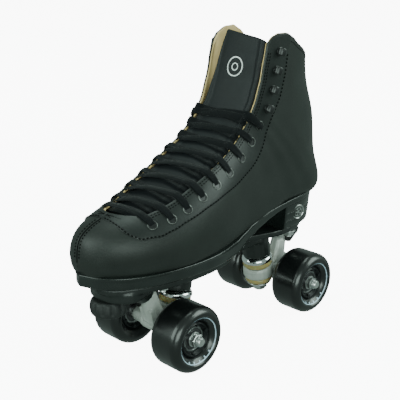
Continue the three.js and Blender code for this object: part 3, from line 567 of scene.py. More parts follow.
# ---------- boot: upper, lining and facings ----------
TOE_LEVELS = [0, 0.06, 0.13, 0.22, 0.32, 0.44, 0.56, 0.7, 0.85]
LEVELS = TOE_LEVELS + edge_rows(1, COLLAR, 0.1, last_edge=0.03)
THROAT_LEVELS = {4.17, 4.21, 4.25, 4.3, 4.36, 4.43}
LEVELS = sorted(set(LEVELS) | THROAT_LEVELS)
SHARES = edge_rows(0, 0.25, 0.012, first_edge=0.03) + edge_rows(0.25, 1, 0.0135)[1:]


def quarters():
    for label, side in SIDES.items():
        skin = upper_sheet(side, LEVELS, SHARES, -LEATHER_T, 0, 0.9, wave=0.22)
        piece(f"{label}_quarter_leather", skin, LEATHER, BOOT,
              [f"{label}_quarter"], sharp=70)
        lining = upper_sheet(side, LEVELS, SHARES, -LEATHER_T - LINING_T, -LEATHER_T - 0.02, 0.8,
                             ease=0.2 if side > 0 else 2.0)
        piece(f"{label}_quarter_lining", lining, LINING, BOOT, sharp=70)
        levels = edge_rows(3.72, COLLAR - 0.02, 0.08, 0.03, 0.03)
        levels = sorted(set(levels) | THROAT_LEVELS)
        shares = edge_rows(0, 0.25, 0.012, 0.02, 0.02)
        overlay = upper_sheet(side, levels, shares, -0.3, FACING_LIFT, 1.6, sweep=0.3)
        piece(f"{label}_facing_leather", overlay, FACING_LEATHER, BOOT,
              [f"{label}_facing"], sharp=70)


# ---------- stitching ----------
STITCH_SIDES, HOOK_SIDES = 6, 12  # corners round a stitch and round a hook's tongue


def stitch_row(places, lift, pitch=3.1, length=2.0, thick=0.5):
    """A row of stitches along a path of (station, signed distance) places. Each dips into the leather at its ends."""
    places = np.array(places, float)
    fine_at, places_at = np.linspace(0, 1, 600), np.linspace(0, 1, len(places))
    fine = np.stack([np.interp(fine_at, places_at, places[:, k]) for k in (0, 1)], 1)
    points = on_boot(fine[:, 0], fine[:, 1], lift)
    normals = boot_normal(fine[:, 0], angle_at(fine[:, 0], fine[:, 1]))
    run = run_of(points)
    shape = Shape()
    for k in range(int(run[-1] / pitch)):
        here = (k + 0.5) * pitch
        centre, ahead = [np.array([np.interp(here + d, run, points[:, c]) for c in range(3)]) for d in (0, 0.5)]
        normal = np.array([np.interp(here, run, normals[:, c]) for c in range(3)])
        along = (ahead - centre) / np.linalg.norm(ahead - centre)
        across = np.cross(normal, along)
        ring = []
        shares = (-1, -0.75, -0.3, 0.3, 0.75, 1)
        for t in shares:
            sunk = thick * (0.55 - 1.3 * t**4)
            width = thick * math.sqrt(max(0.02, 1 - t**6)) * 1.15
            for a in range(STITCH_SIDES):
                turn = a * math.pi / 3
                ring.append(
                    centre + along * t * length / 2 + across * width * math.cos(turn)
                    + normal * (sunk + thick * 0.8 * math.sin(turn))
                )
        shape.add(ring, tube_faces(len(shares), STITCH_SIDES))
    return shape


def path_along(side, first, last, distance, count=60):
    """Places from station to station, at distance(u) round from the top line."""
    us = np.linspace(first, last, count)
    return [(u, side * float(d)) for u, d in zip(us, distance(us))]


def stitching():
    def outline(u):
        return smooth(FACING, u) - 1.0

    for label, side in SIDES.items():
        rows = [
            stitch_row([(3.78 + 0.3 * (d / 35.4) ** 8, side * d) for d in np.linspace(2.5, 34.2, 24)]
                       + path_along(side, 4.1, 13.62, outline, 150), FACING_LIFT),
            stitch_row(path_along(side, 4.62, 13.45, lambda u: gap_edge(u) + 2.4), FACING_LIFT, 2.6, 1.7, 0.32),
            stitch_row(path_along(side, 4.7, 13.45, lambda u: gap_edge(u) + 4.4), FACING_LIFT, 2.6, 1.7, 0.32),
            stitch_row(path_along(side, 0.5, 3.7, lambda u: 2.6 + 0 * u), 0, 2.6, 1.7, 0.45),
            stitch_row([(4.02 + 0.0006 * d * d, side * d) for d in np.linspace(1.5, 15, 20)],
                       FACING_LIFT, 2.0, 1.5, 0.2),
        ]
        shares = np.linspace(0.08, 0.98, 90)
        u, distance = upper_place(side, np.full(90, COLLAR - 0.16), shares)
        rows.append(stitch_row(list(zip(u, side * distance)), 0, 2.6, 1.9, 0.24))
        for turn in (-1, 1):
            rows.append(stitch_row([(4.0 + turn * 0.09 * t, side * (3 + 5 * t)) for t in np.linspace(-0.4, 1, 10)],
                                   FACING_LIFT, 0.9, 1.2, 0.24))
        piece(f"{label}_stitching", Shape(*rows), THREAD, BOOT, sharp=80)


def toe_seam():
    """The raised seam that joins the two quarters over the toe."""
    us = np.linspace(0.25, 4.02, 90)
    across = np.linspace(-1, 1, 7)
    u, t = np.meshgrid(us, across, indexing="ij")
    top = on_boot(u, t * 0.75, 0.22 * np.sqrt(np.maximum(0, 1 - t * t)) - 0.05)
    bottom = on_boot(u, t * 0.75, -0.5)
    piece("toe_seam", closed_sheet(top, bottom), THREAD, BOOT, sharp=70)


# ---------- eyelets, hooks and lace ----------
def fitting_frame(u, side, inset, lift=FACING_LIFT):
    distance = side * (float(gap_edge(u)) + inset)
    at = on_boot(u, distance, lift)
    normal = boot_normal(np.array(u), angle_at(u, distance))
    towards_throat = on_boot(u, distance - side * 3, lift) - at
    inwards = towards_throat - normal * (towards_throat @ normal)
    return at, normal, inwards / np.linalg.norm(inwards)


def eyelets():
    rim = filleted([(3.4, -0.4), (4.05, -0.2), (4.1, 0.2), (3.8, 0.5), (3.4, 0.4)], 0.2, 3)
    cup = filleted([(0, 0.02), (2.6, 0.02, 0), (2.7, 0.45), (3.3, 0.5), (3.45, -0.4, 0), (0, -0.4)], 0.12, 2)
    for label, side in SIDES.items():
        rims, cups = Shape(), Shape()
        for u in EYELET_U:
            at, normal, _ = fitting_frame(u, side, EYELET_IN)
            rims.join(lathe(rim, at, normal, 36))
            cups.join(lathe(cup, at, normal, 36))
        piece(f"{label}_eyelet_rims", rims, NICKEL, BOOT, sharp=60)
        piece(f"{label}_eyelet_cups", cups, BLACK_METAL, BOOT, sharp=60)


def speed_hook(at, normal, inwards):
    """A riveted base with a curled tongue of metal that opens away from the throat."""
    sideways = np.cross(normal, inwards)
    base = lathe(filleted([(0, -0.3), (3.9, -0.3), (3.9, 0.7), (2.2, 1.0), (0, 1.0)], 0.3), at, normal, 32)
    curl = [(1.6, 0.8), (2.9, 1.3), (3.3, 2.5), (2.6, 4.0), (0.8, 4.9), (-1.4, 4.9), (-3.1, 4.2), (-3.7, 3.3)]
    widths = [2.6, 2.7, 2.9, 3.2, 3.4, 3.2, 2.6, 1.7]
    ring = []
    for k, ((inward, up), half) in enumerate(zip(curl, widths)):
        ahead, behind = curl[min(k + 1, len(curl) - 1)], curl[max(k - 1, 0)]
        slope = np.array(ahead) - np.array(behind)
        slope = slope / np.linalg.norm(slope)
        for a in range(HOOK_SIDES):
            turn = a * math.pi / 6
            c, s = math.cos(turn), math.sin(turn)
            wide = half * np.sign(c) * abs(c) ** 0.5
            thick = 0.55 * np.sign(s) * abs(s) ** 0.7
            place = at + inwards * (inward - slope[1] * thick) + normal * (up + slope[0] * thick)
            ring.append(place + sideways * wide)
    return Shape(base, Shape().add(ring, tube_faces(len(curl), HOOK_SIDES)))


def speed_hooks():
    rivet = filleted([(0, 0.6), (1.9, 0.6), (1.9, 1.2), (1.3, 1.7), (0, 1.8)], 0.3)
    for label, side in SIDES.items():
        hooks, rivets = Shape(), Shape()
        for u in HOOK_U:
            at, normal, inwards = fitting_frame(u, side, HOOK_IN)
            hooks.join(speed_hook(at, normal, inwards))
            rivets.join(lathe(rivet, at, normal, 20))
        piece(f"{label}_speed_hooks", hooks, BLACK_METAL, BOOT,
              [f"{label}_hook_row"], sharp=50)
        piece(f"{label}_hook_rivets", rivets, NICKEL, BOOT, sharp=50)


def along_knots(knots, count):
    """Points on a Catmull-Rom curve through knots, as an array."""
    knots = np.array(knots, float)
    padded = np.concatenate([[2 * knots[0] - knots[1]], knots, [2 * knots[-1] - knots[-2]]])
    at = np.linspace(0, len(knots) - 1, count)
    i = np.minimum(at.astype(int), len(knots) - 2)
    t = (at - i)[:, None]
    p0, p1, p2, p3 = [padded[i + k] for k in range(4)]
    return 0.5 * (2 * p1 + (p2 - p0) * t + (2 * p0 - 5 * p1 + 4 * p2 - p3) * t**2 + (3 * p1 - p0 - 3 * p2 + p3) * t**3)


LACE_HALF, LACE_THICK = 3.1, 1.0


def lace_run(knots, waves, count=56):
    """A flat lace through (station, signed distance, lift) knots. `waves` is how it wanders and rolls."""
    path = along_knots(knots, count)
    share = np.linspace(0, 1, count)
    points = over_throat(path[:, 0], path[:, 1], path[:, 2])
    normals = boot_normal(path[:, 0], angle_at(path[:, 0], path[:, 1]))
    tangents = np.gradient(points, axis=0)
    tangents /= np.linalg.norm(tangents, axis=1)[:, None]
    across = np.cross(tangents, normals)
    across /= np.linalg.norm(across, axis=1)[:, None]
    up = np.cross(across, tangents)
    roll = waves[1] * np.sin(2 * math.pi * (share * 1.3 + waves[0])) * np.sin(math.pi * share)
    across, up = (
        across * np.cos(roll)[:, None] + up * np.sin(roll)[:, None],
        up * np.cos(roll)[:, None] - across * np.sin(roll)[:, None],
    )
    points = points + across * (waves[2] * np.sin(math.pi * share) * np.sin(5 * share + 6 * waves[0]))[:, None]
    widths = LACE_HALF * (1 - 0.22 * np.abs(np.cos(math.pi * share)) ** 6 - 0.05 * np.sin(9 * share + waves[0] * 9))
    run = run_of(points)
    corners, uvs = [], []
    sides = 14
    for k in range(count):
        for a in range(sides):
            turn = 2 * math.pi * a / sides
            c, s = math.cos(turn), math.sin(turn)
            wide = math.copysign(abs(c) ** 0.75, c)
            corners.append(points[k] + across[k] * widths[k] * wide
                           + up[k] * LACE_THICK / 2 * math.copysign(abs(s) ** 0.85, s) * (1 + 0.18 * abs(wide)))
            uvs.append((widths[k] * wide, run[k] + waves[0] * 10))
    return Shape().add(corners, tube_faces(count, sides), uvs)


def lace():
    """Each run leaves its eyelet over the facing, crosses the throat and dives under the other side's edge, lower."""
    runs = []
    over, under = FACING_LIFT + 0.55, -2.6

    def wandering():
        return random.random(), random.uniform(-0.22, 0.22), random.uniform(-0.6, 0.6)

    def mouth(u, side):
        edge = float(gap_edge(u))
        return [(u, side * (edge + EYELET_IN + 0.6), -1.2), (u, side * (edge + EYELET_IN - 0.9), over - 0.5),
                (u, side * (edge + 7), over + 0.25), (u - 0.01, side * (edge + 1), over + 0.1)]

    first = EYELET_U[0]
    bar = mouth(first, 1) + [(first + 0.02, 0, 0.2)] + mouth(first, -1)[::-1]
    runs.append(lace_run(bar, (0.2, 0.05, 0.3), 84))
    for i in range(1, len(EYELET_U)):
        u, below = EYELET_U[i], EYELET_U[i - 1]
        for side in (-1, 1):
            middle = 0.9 if side > 0 else -0.6
            landing = below + 0.62 * (u - below)
            edge = float(gap_edge(landing))
            quarter = 0.5 * (u + landing)
            knots = mouth(u, side) + [
                (quarter + 0.42 * (u - quarter), side * edge * 0.5, middle + 0.1),
                (quarter, 0, middle),
                (landing + 0.25 * (quarter - landing), -side * edge * 0.6, middle * 0.5 - 0.7),
                (landing, -side * (edge - 2.5), under + 0.9),
                (landing - 0.01, -side * (edge + 5), under - 0.4),
            ]
            runs.append(lace_run(knots, wandering(), 72))
    top = EYELET_U[-1] + 0.12
    edge = float(gap_edge(top))
    last = [(top - 0.56, -(edge + 11), over - 0.5), (top - 0.54, -(edge + 6), over + 1.0),
            (top - 0.5, -edge, over + 1.2), (top - 0.36, -edge * 0.5, 0.8), (top - 0.16, 0, 0.4),
            (top - 0.06, edge * 0.5, 1.0), (top - 0.04, edge + 1, over + 1.1), (top - 0.1, edge + 8, over + 1.3),
            (top - 0.16, edge + 14.5, over + 0.7)]
    runs.append(lace_run(last, (0.55, 0.1, 0.2), 84))
    piece("lace_runs", Shape(*runs), COTTON, BOOT, ["lace"], sharp=80)


# ---------- tongue and footbed ----------
TONGUE_FIRST, TONGUE_LAST, TONGUE_TUCK = 4.6, 13.95, 9
TONGUE_TOP = -LEATHER_T - LINING_T - 0.6
TONGUE_HALF = 2.7  # half its thickness
TONGUE_SINK = 7  # how far the inner edge falls back from the lining at the top


def tongue_point(u, across, lift):
    """A place on the tongue: across runs from -1 on the inner edge to 1 on the outer edge."""
    u, across, lift = np.broadcast_arrays(*[np.asarray(v, float) for v in (u, across, lift)])
    half = gap_edge(u) + TONGUE_TUCK
    corner = 0.3 * np.clip((np.abs(across) - 0.65) / 0.35, 0, 1) ** 2
    u = u - (0.2 * across + corner) * np.clip((u - 12.5) / 1.25, 0, 1)
    inward = np.clip(-across * 1.2, 0, 1) ** 2
    lift = lift - TONGUE_SINK * inward * np.clip((u - 9) / 4.7, 0, 1) ** 1.3
    aside = 3.0 * np.clip((u - 10) / 3, 0, 1)  # the tongue leans a little to the outer side
    return over_throat(u, across * half + aside, lift)


def tongue():
    us = edge_rows(TONGUE_FIRST, TONGUE_LAST, 0.09, 0.05, 0.09)
    across = edge_rows(-1, 1, 0.035, 0.07, 0.07)
    u, a = np.meshgrid(us, across, indexing="ij")
    half_width = gap_edge(u) + TONGUE_TUCK
    depth = np.minimum((1 - np.abs(a)) * half_width, (TONGUE_LAST - u) * 20)
    padding = 0.45 + 0.55 * np.clip(depth / 11, 0, 1) ** 0.6
    seam = 1 - 0.06 * np.exp(-(((depth - 4.2) / 0.8) ** 2))
    half = TONGUE_HALF * rounding(depth, 2.2) * padding * seam
    centre = TONGUE_TOP - TONGUE_HALF
    body = closed_sheet(tongue_point(u, a, centre + half), tongue_point(u, a, centre - half))
    made = piece("padded_tongue", body, TONGUE_LEATHER, BOOT, ["tongue"], sharp=75)


def tongue_mark():
    """A plain wheel drawn as two rings, printed on the front of the tongue."""
    centre_u, centre_across, mm_per_station, steps = 12.55, -0.08, 18.5, 96
    angle = np.linspace(0, 2 * math.pi, steps, endpoint=False)
    shape = Shape()
    for inner, outer in ((7.6, 8.7), (2.6, 3.5)):
        skins = []
        for lift, crown in ((0.28, 0.12), (-0.62, 0)):
            ring = []
            for radius, rise in ((inner, 0), ((inner + outer) / 2, crown), (outer, 0)):
                u = centre_u + radius * np.sin(angle) / mm_per_station
                across = centre_across + radius * np.cos(angle) / (gap_edge(u) + TONGUE_TUCK)
                ring.append(tongue_point(u, across, TONGUE_TOP + lift + rise))
            skins.append(np.stack(ring, 1).reshape(-1, 3))
        count = steps * 3
        faces = grid_faces(steps, 3, True, False)
        faces += [[i + count for i in reversed(face)] for face in faces]
        for k in range(steps):
            for edge in (0, 2):
                a, b = k * 3 + edge, (k + 1) % steps * 3 + edge
                faces.append([a, b, b + count, a + count])
        shape.add(np.concatenate(skins), faces)
    piece("tongue_mark", shape, WHITE_PRINT, BOOT, sharp=60)


def bottom_station(y):
    us = np.linspace(0, 10, 400)
    return np.interp(y, station(us)[:, 2], us)


# ---------- sole ----------
SOLE_RIM = [
    [-138, 91.5], [-50, 91.5], [-18, 92.5], [3, 93.5], [16, 97], [28, 101], [42, 104.5], [55, 106.5],
    [70, 108], [85, 109.3], [100, 110], [138, 110.5],
]
SOLE_BOTTOM = [
    [-138, 81.5], [8, 81.5], [13, 84.5], [20, 88.2], [28, 91], [40, 95], [54, 99], [67, 102],
    [77, 103.5], [138, 105],
]
SOLE_PLAN = [
    [-128.6, -6, 11], [-127, -1.5, 14.5], [-124.3, 5.5, 19], [-120, 12.2, 23.3], [-115, 18, 27.3],
    [-107.5, 24.3, 31.5], [-96, 30.8, 36], [-84.6, 35.4, 38.7], [-71.6, 38.6, 40], [-57, 40.8, 40.2],
    [-42, 42, 39], [-30, 42.3, 37.5], [-18, 41, 35.8], [0, 37, 33], [20, 33.5, 31.2], [40, 31.5, 30.3],
    [60, 30.3, 30], [77, 29.9, 29.9], [96, 29.3, 29.3], [108, 27.5, 27.5], [118, 24, 24],
    [126, 19, 19], [131, 13.5, 13.5], [134.3, 5, 5],
]


def plan_sides(plan, count):
    """Matching points down the outer and inner edges of a plan, with the plan's outward normal at each."""
    middle = (plan[0][1] - plan[0][2]) / 2
    sides = []
    for sign, column in ((1, 1), (-1, 2)):
        knots = [(middle, plan[0][0] - 0.7)] + [(sign * row[column], row[0]) for row in plan]
        knots.append((0.0, plan[-1][0] + 0.5))
        fine = along_knots(knots, 1200)
        fine_run = run_of(fine)
        at = np.linspace(0, fine_run[-1], count)
        points = np.stack([np.interp(at, fine_run, fine[:, k]) for k in (0, 1)], 1)
        tangent = np.gradient(points, axis=0)
        normal = np.stack([tangent[:, 1], -tangent[:, 0]], 1) * sign
        normal /= np.linalg.norm(normal, axis=1)[:, None]
        normal[0], normal[-1] = (0, -1), (0, 1)
        sides.append((points, normal))
    return sides


def slab_body(plan, profile, low, high, count=190, across=9):
    """A closed slab that follows a plan. profile is (outward, share of height, extra height) from bottom to top."""
    sides = plan_sides(plan, count)
    rows = []
    for k in range(count):
        edges = []
        for points, normal in sides:
            edge = []
            for outward, share, extra in profile:
                x, y = points[k] + normal[k] * outward
                edge.append((x, y, float(low(y) + (high(y) - low(y)) * share + extra)))
            edges.append(np.array(edge))
        outer, inner = edges
        shares = np.linspace(0, 1, across)[1:-1]
        rows.append([*outer, *[outer[-1] * (1 - t) + inner[-1] * t for t in shares],
                     *inner[::-1], *[inner[0] * (1 - t) + outer[0] * t for t in shares]])
    return Shape().add(np.array(rows).reshape(-1, 3), grid_faces(count, len(rows[0]), False, True))


def sole_rim(y):
    return smooth(SOLE_RIM, y)


def sole_bottom(y):
    return smooth(SOLE_BOTTOM, y)


def soles():
    outsole = [(-3, 0, 0), (-1.2, 0, 0), (-0.45, 0.02, 0.12), (-0.1, 0.1, 0.2), (0, 0.3, 0), (-0.1, 0.6, 0),
               (-0.15, 0.78, 0), (0.1, 0.84, 0), (0.5, 0.9, 0), (0.65, 0.97, 0), (0.5, 1, 0.3), (0.0, 1, 0.5),
               (-0.7, 1, 0.6), (-1.6, 1, 1.0), (-4, 1, 2.2), (-7, 1, 3.0), (-9, 1, -0.5)]
    piece("outsole_body", slab_body(SOLE_PLAN, outsole, sole_bottom, sole_rim), SOLE_BLACK, BOOT,
          ["outsole"], sharp=65)
    heel_plan = [row for row in SOLE_PLAN if row[0] >= HEEL_FRONT_Y]
    heel_block(heel_plan)
    footbed_plan = [[y, outer - 4.5, inner - 4.5] for y, outer, inner in SOLE_PLAN[2:-2]]

    def floor(y):
        return station(np.clip(bottom_station(y), 1, 10))[..., 3] + LEATHER_T + LINING_T

    footbed = [(-2, 0, 0), (0, 0.3, 0), (0.2, 0.7, 0), (0, 1, 0.1), (-1.5, 1, 0), (-6, 1, -0.8)]
    piece("footbed_pad", slab_body(footbed_plan, footbed, lambda y: floor(y) - 1, lambda y: floor(y) + 4.5),
          LINING, BOOT, ["insole"], sharp=60)


def heel_block(plan):
    """The stacked heel: nearly straight sides, a flat front face with rounded corners and a bevelled foot."""
    outer = np.array([(29.8, HEEL_FRONT_Y)] + [(row[1], row[0]) for row in plan[1:]] + [(0, 134.6)])
    side = along_knots(outer, 90)
    front = np.array([(x, HEEL_FRONT_Y + 0.35 * max(0, (x - 27) / 2.8) ** 2) for x in np.linspace(0, 29.2, 24)])
    half = np.concatenate([front, side[1:]])
    outline = np.concatenate([half, (half * (-1, 1))[::-1][1:-1]])
    levels = [(0, 0.965), (0.012, 0.985), (0.05, 0.995), (0.2, 1), (0.325, 1), (0.333, 0.996), (0.341, 1), (0.5, 1),
              (0.658, 1), (0.666, 0.996), (0.674, 1), (0.85, 1), (1, 1)]
    rings = []
    for t, swell in levels:
        narrow = (0.94 + 0.05 * t) * swell
        forward = (0.945 + 0.05 * t) * (0.5 + 0.5 * swell)
        x = outline[:, 0] * narrow
        y = HEEL_FRONT_Y + (outline[:, 1] - HEEL_FRONT_Y) * forward
        top = sole_bottom(y) + 0.2
        z = PLATE_TOP + 0.1 + (top - PLATE_TOP - 0.1) * t
        rings.append(np.stack([x, y, z], 1))
    count = len(outline)
    shape = Shape().add(np.concatenate(rings), grid_faces(len(levels), count, False, True))
    for ring in (rings[0], rings[-1]):
        hub = ring.mean(0)
        points = np.concatenate([ring, [hub]])
        shape.add(points, [[i, (i + 1) % count, count] for i in range(count)])
    piece("heel_stack", shape, SOLE_BLACK, BOOT, ["heel_block"], sharp=45)


def badge():
    """A round metal badge on the heel's outer side, with a plain wheel on it."""
    at, axis = np.array((28.6, 95.5, 94.6)), Vector((0.985, -0.16, -0.06)).normalized()
    disc = lathe(filleted([(0, -3.2), (6.9, -3.2), (6.9, 0.75), (6.2, 1.0), (5.8, 0.5), (0, 0.5)], 0.25), at, axis, 56)
    inlay = [lathe(filleted([(4.5, 0.3), (5.3, 0.3), (5.3, 0.62), (4.5, 0.62)], 0.12, 2), at, axis, 48)]
    for k in range(5):
        turn = k * 2 * math.pi / 5 + 0.2
        corners = [(1.5, -0.42), (3.7, -0.3), (3.7, 0.3), (1.5, 0.42)]
        cell = [(r * math.cos(turn + w), r * math.sin(turn + w)) for r, w in corners]
        inlay.append(prism(cell, 0.3, 0.64, at, axis, 0.1))
    piece("heel_badge", disc, BADGE_METAL, BOOT, sharp=50)
    piece("heel_badge_inlay", Shape(*inlay), BLACK_METAL, BOOT, sharp=50)


# ---------- plate and trucks ----------
def moulded(name, node, material, body, voxel, passes):
    """A CAD node's own shape with its edges rounded off, as a moulding or casting has them."""
    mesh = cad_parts[node].data.copy()
    rough = bpy.data.objects.new(name + "_rough", mesh)
    bpy.context.scene.collection.objects.link(rough)
    remesh = rough.modifiers.new("voxels", "REMESH")
    remesh.mode, remesh.voxel_size = "VOXEL", voxel * MM
    soften = rough.modifiers.new("soften", "SMOOTH")
    soften.factor, soften.iterations = 0.5, passes
    graph = bpy.context.evaluated_depsgraph_get()
    shaped = bpy.data.meshes.new_from_object(rough.evaluated_get(graph))
    bpy.data.objects.remove(rough)
    shaped.name = name
    return finished(name, shaped, material, body, [node], 60)


class Truck:
    def __init__(self, name, axle_y, out):
        self.name, self.axle_y, self.out = name, axle_y, out
        self.axle = (0, axle_y, WHEEL_R)
        self.ring = Vector((0, axle_y - out * RING_BACK, RING_Z))
        self.pivot = Vector((0, axle_y + out * PIVOT_OUT, PIVOT_Z))
        self.steer = (self.pivot - self.ring).normalized()
        self.king = Vector((0, -out * math.sin(KINGPIN_TILT), math.cos(KINGPIN_TILT)))


TRUCKS = [Truck("front", FRONT_AXLE_Y, -1), Truck("rear", REAR_AXLE_Y, 1)]


def plate():
    moulded("plate_moulding", "plate", PLATE_NYLON, BOOT, 0.8, 5)
    for label, (x, y) in BOLTS.items():
        low = PLATE_TOP - PLATE_T
        head = prism(hexagon(9.6, 0.2), low - 4.6, low - 0.9, (x, y, 0), bevel=0.5)
        flat = [(0, low - 0.95), (6.6, low - 0.95), (6.6, low + 0.1), (0, low + 0.1)]
        washer = lathe(filleted(flat, 0.3), (x, y, 0))
        tip = threaded(3, low - 6.6, low - 4.4, 0.8, 0.25)
        shank = lathe([(0, low - 6.6), *tip, (0, low - 4.4)], (x, y, 0), segments=24)
        piece(f"mounting_nut_{label}", Shape(head, washer, shank), ZINC, BOOT,
              [f"mounting_bolt_{label}"], sharp=35)


def truck_parts(truck):
    name, body = truck.name, f"{truck.name}_truck"
    moulded(f"{name}_hanger_casting", f"{name}_hanger", CAST_ALLOY, body, 0.6, 6)
    ends = threaded(4, 0, 15, 1.25, 0.3)
    profile = [(0, -AXLE_HALF), (3.2, -AXLE_HALF), *[(r, h - 53.4) for r, h in ends], (4, -38), (4, 38),
               *[(r, 53.4 - h) for r, h in ends[::-1]], (3.2, AXLE_HALF), (0, AXLE_HALF)]
    piece(f"{name}_axle_rod", lathe(profile, truck.axle, ACROSS, 40), ZINC, body, [f"{name}_axle"])
    at, king = tuple(truck.ring), truck.king
    pin = [(0, -21), (4.2, -21), *threaded(KINGPIN_R, -20.6, -12, 1.25, 0.35), (KINGPIN_R, -11), (KINGPIN_R, 40),
           (0, 40)]
    piece(f"{name}_kingpin_rod", lathe(pin, at, king, 40), ZINC, BOOT, [f"{name}_kingpin"])
    upper = filleted([(KING_BORE, 5.8), (12.8, 5.8, 1.6), (13.9, 7.6, 1.5), (13.5, 10.5, 1.5), (12.9, 12.6, 0.8),
                      (KING_BORE, 12.6)], 0.5)
    lower = filleted([(KING_BORE, -11), (11.4, -11, 1.2), (13, -8.6, 1.6), (12.2, -5.8, 1), (KING_BORE, -5.8)], 0.5)
    for label, profile, (start, end) in (("upper", upper, (5.8, 12.6)), ("lower", lower, (-5.8, -11))):
        made = piece(f"{name}_{label}_cushion_ring", lathe(profile, at, king, 64), CUSHION, None,
                     [f"{name}_{label}_cushion"], sharp=60)
        start, end = [tuple(in_frame(np.array(at) + np.array(king) * h)[0]) for h in (start, end)]
        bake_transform(made)
    cup = filleted([(KING_BORE, 12.9), (12.8, 12.9, 0.2), (13.3, 11.5, 0.2), (14.2, 11.4, 0.5), (14.5, 12.3, 0.6),
                    (14.3, 14.6, 1.4), (12.8, 16.6, 1.5), (9.5, 17.2), (KING_BORE, 17.2)], 0.5)
    dish = filleted([(KING_BORE, -13.2), (10.6, -13.2), (11.8, -11.9), (11.9, -11), (11.2, -10.9), (10.6, -11.5),
                     (KING_BORE, -11.5)], 0.3)
    for label, kind, profile, segments in (("upper", "cup", cup, 72), ("lower", "dish", dish, 64)):
        piece(f"{name}_{label}_retainer_{kind}", lathe(profile, at, king, segments), CHROME, BOOT,
              [f"{name}_{label}_retainer"])
    lock = Shape(prism(hexagon(13, 0.3), -19.0, -13.5, at, king, 0.7),
                 lathe(filleted([(4.8, -20.2), (5.6, -20.2), (6.1, -18.8), (4.8, -18.8)], 0.3), at, king, 36))
    piece(f"{name}_kingpin_lock_nut", lock, ZINC, BOOT, [f"{name}_kingpin_nut"], sharp=35)
    cup = filleted([(5.3, -6.9), (8, -6.9), (8.6, -6.4), (8, -5.8), (8, 5), (0, 5), (0, 4.4), (5.3, 1.6)], 0.3)
    piece(f"{name}_pivot_bush", lathe(cup, tuple(truck.pivot), truck.steer, 40), PIVOT_NYLON, BOOT,
          [f"{name}_pivot_cup"])


# ---------- wheels ----------
def wheel(truck, label, side):
    name = f"{truck.name}_{label}"
    body = f"{name}_wheel"
    at, axis = (side * WHEEL_X, truck.axle_y, WHEEL_R), Vector((side, 0, 0))
    half = [(0.0, WHEEL_R), (8.2, WHEEL_R), (10.6, 28.3), (12.8, 27.4), (14.6, 25.8), (15.7, 23.9), (16, 22.3),
            (15.75, 21.3), (15.2, 20.5), (14.4, 19.6), (13.2, 18.0), (11.9, 16.6), (10.4, 15.7), (9.2, 15.1)]
    far = along_knots(half, 64)
    profile = [(r, h) for h, r in far] + [(r, -h) for h, r in far[::-1][:-1]]
    piece(f"{name}_tyre_urethane", lathe(profile, at, axis, 112), URETHANE, body,
          [f"{name}_tyre"], sharp=60)

    hub = filleted([(13.7, -11.4), (15.3, -10), (15.3, 10), (13.7, 11.4), (12.9, 10.4), (11.7, 8.9), (11, 8.9, 0.1),
                    (11, 1.2, 0), (6, 1.2, 0), (6, -1.2, 0), (11, -1.2, 0), (11, -8.9, 0.1), (11.7, -8.9),
                    (12.9, -10.4)], 0.45, 3)
    ribs = []
    for face in (1, -1):
        for k in range(6):
            turn = k * math.pi / 3 + 0.35
            outward = np.array((0, math.cos(turn), math.sin(turn)))
            rib = prism([(-1.2, 11.4), (1.2, 11.4), (1.5, 14.8), (-1.5, 14.8)], 9.0, 11.3, bevel=0.3)
            points = np.array(rib.points)
            sideways = np.array((0, -math.sin(turn), math.cos(turn)))
            placed = np.array(at) + points[:, :1] * sideways + points[:, 1:2] * outward
            ribs.append(Shape().add(placed + points[:, 2:] * np.array((face, 0, 0)), rib.faces))
    piece(f"{name}_hub_core", Shape(lathe(hub, at, axis, 72), *ribs), HUB_PLASTIC, body,
          [f"{name}_hub"], sharp=40)

    def ring(bore, outside, half, fillet, steps, segments):
        outline = filleted([(bore, -half), (outside, -half), (outside, half), (bore, half)], fillet, steps)
        return lathe(outline, centre, axis, segments)

    for place, offset in (("near", -BEARING_OFFSET), ("far", BEARING_OFFSET)):
        centre = (side * (WHEEL_X + offset), truck.axle_y, WHEEL_R)
        races = Shape(ring(9.3, 11, BEARING_HALF, 0.35, 3, 64), ring(4.1, 6.1, BEARING_HALF, 0.3, 3, 48))
        shield = ring(6.1, 9.3, 3.0, 0.3, 2, 48)
        piece(f"{name}_{place}_bearing_races", races, BEARING_STEEL, body,
              [f"{name}_{place}_bearing"], sharp=45)
        piece(f"{name}_{place}_bearing_shields", shield, SHIELD, body, sharp=45)

    line = filleted([(19.3, 14.05), (19.95, 14.65), (20.35, 14.9), (19.8, 14.25)], 0.05, 1)
    print_parts = [lathe([(r + 0.05, h + 0.14) for r, h in line], at, axis, 112)]
    for k in range(5):
        print_parts.append(print_dash(at, side, -2.15 + 0.33 * k))
    piece(f"{name}_print", Shape(*print_parts), BLUE_PRINT, body, sharp=70)

    truck_body = f"{truck.name}_truck"
    washer = lathe(filleted([(4.1, 8.6), (6.4, 8.6), (6.4, 9.8), (4.1, 9.8)], 0.25, 2), at, axis, 40)
    spacer = lathe(filleted([(4.1, -12), (6.2, -12), (6.2, -8.6), (4.1, -8.6)], 0.25, 2), at, axis, 40)
    piece(f"{name}_washers", Shape(washer, spacer), ZINC, truck_body, [f"{name}_axle_washer"], sharp=40)
    nut_shape = Shape(
        prism(hexagon(10.0, 0.25 + truck.out), 9.7, 14.2, at, axis, 1.0),
        lathe(filleted([(3.9, 14.0), (4.8, 14.0), (4.5, 15.4), (3.9, 15.4)], 0.3, 3), at, axis, 36),
    )
    piece(f"{name}_lock_nut", nut_shape, ZINC, truck_body, [f"{name}_axle_nut"], sharp=35)


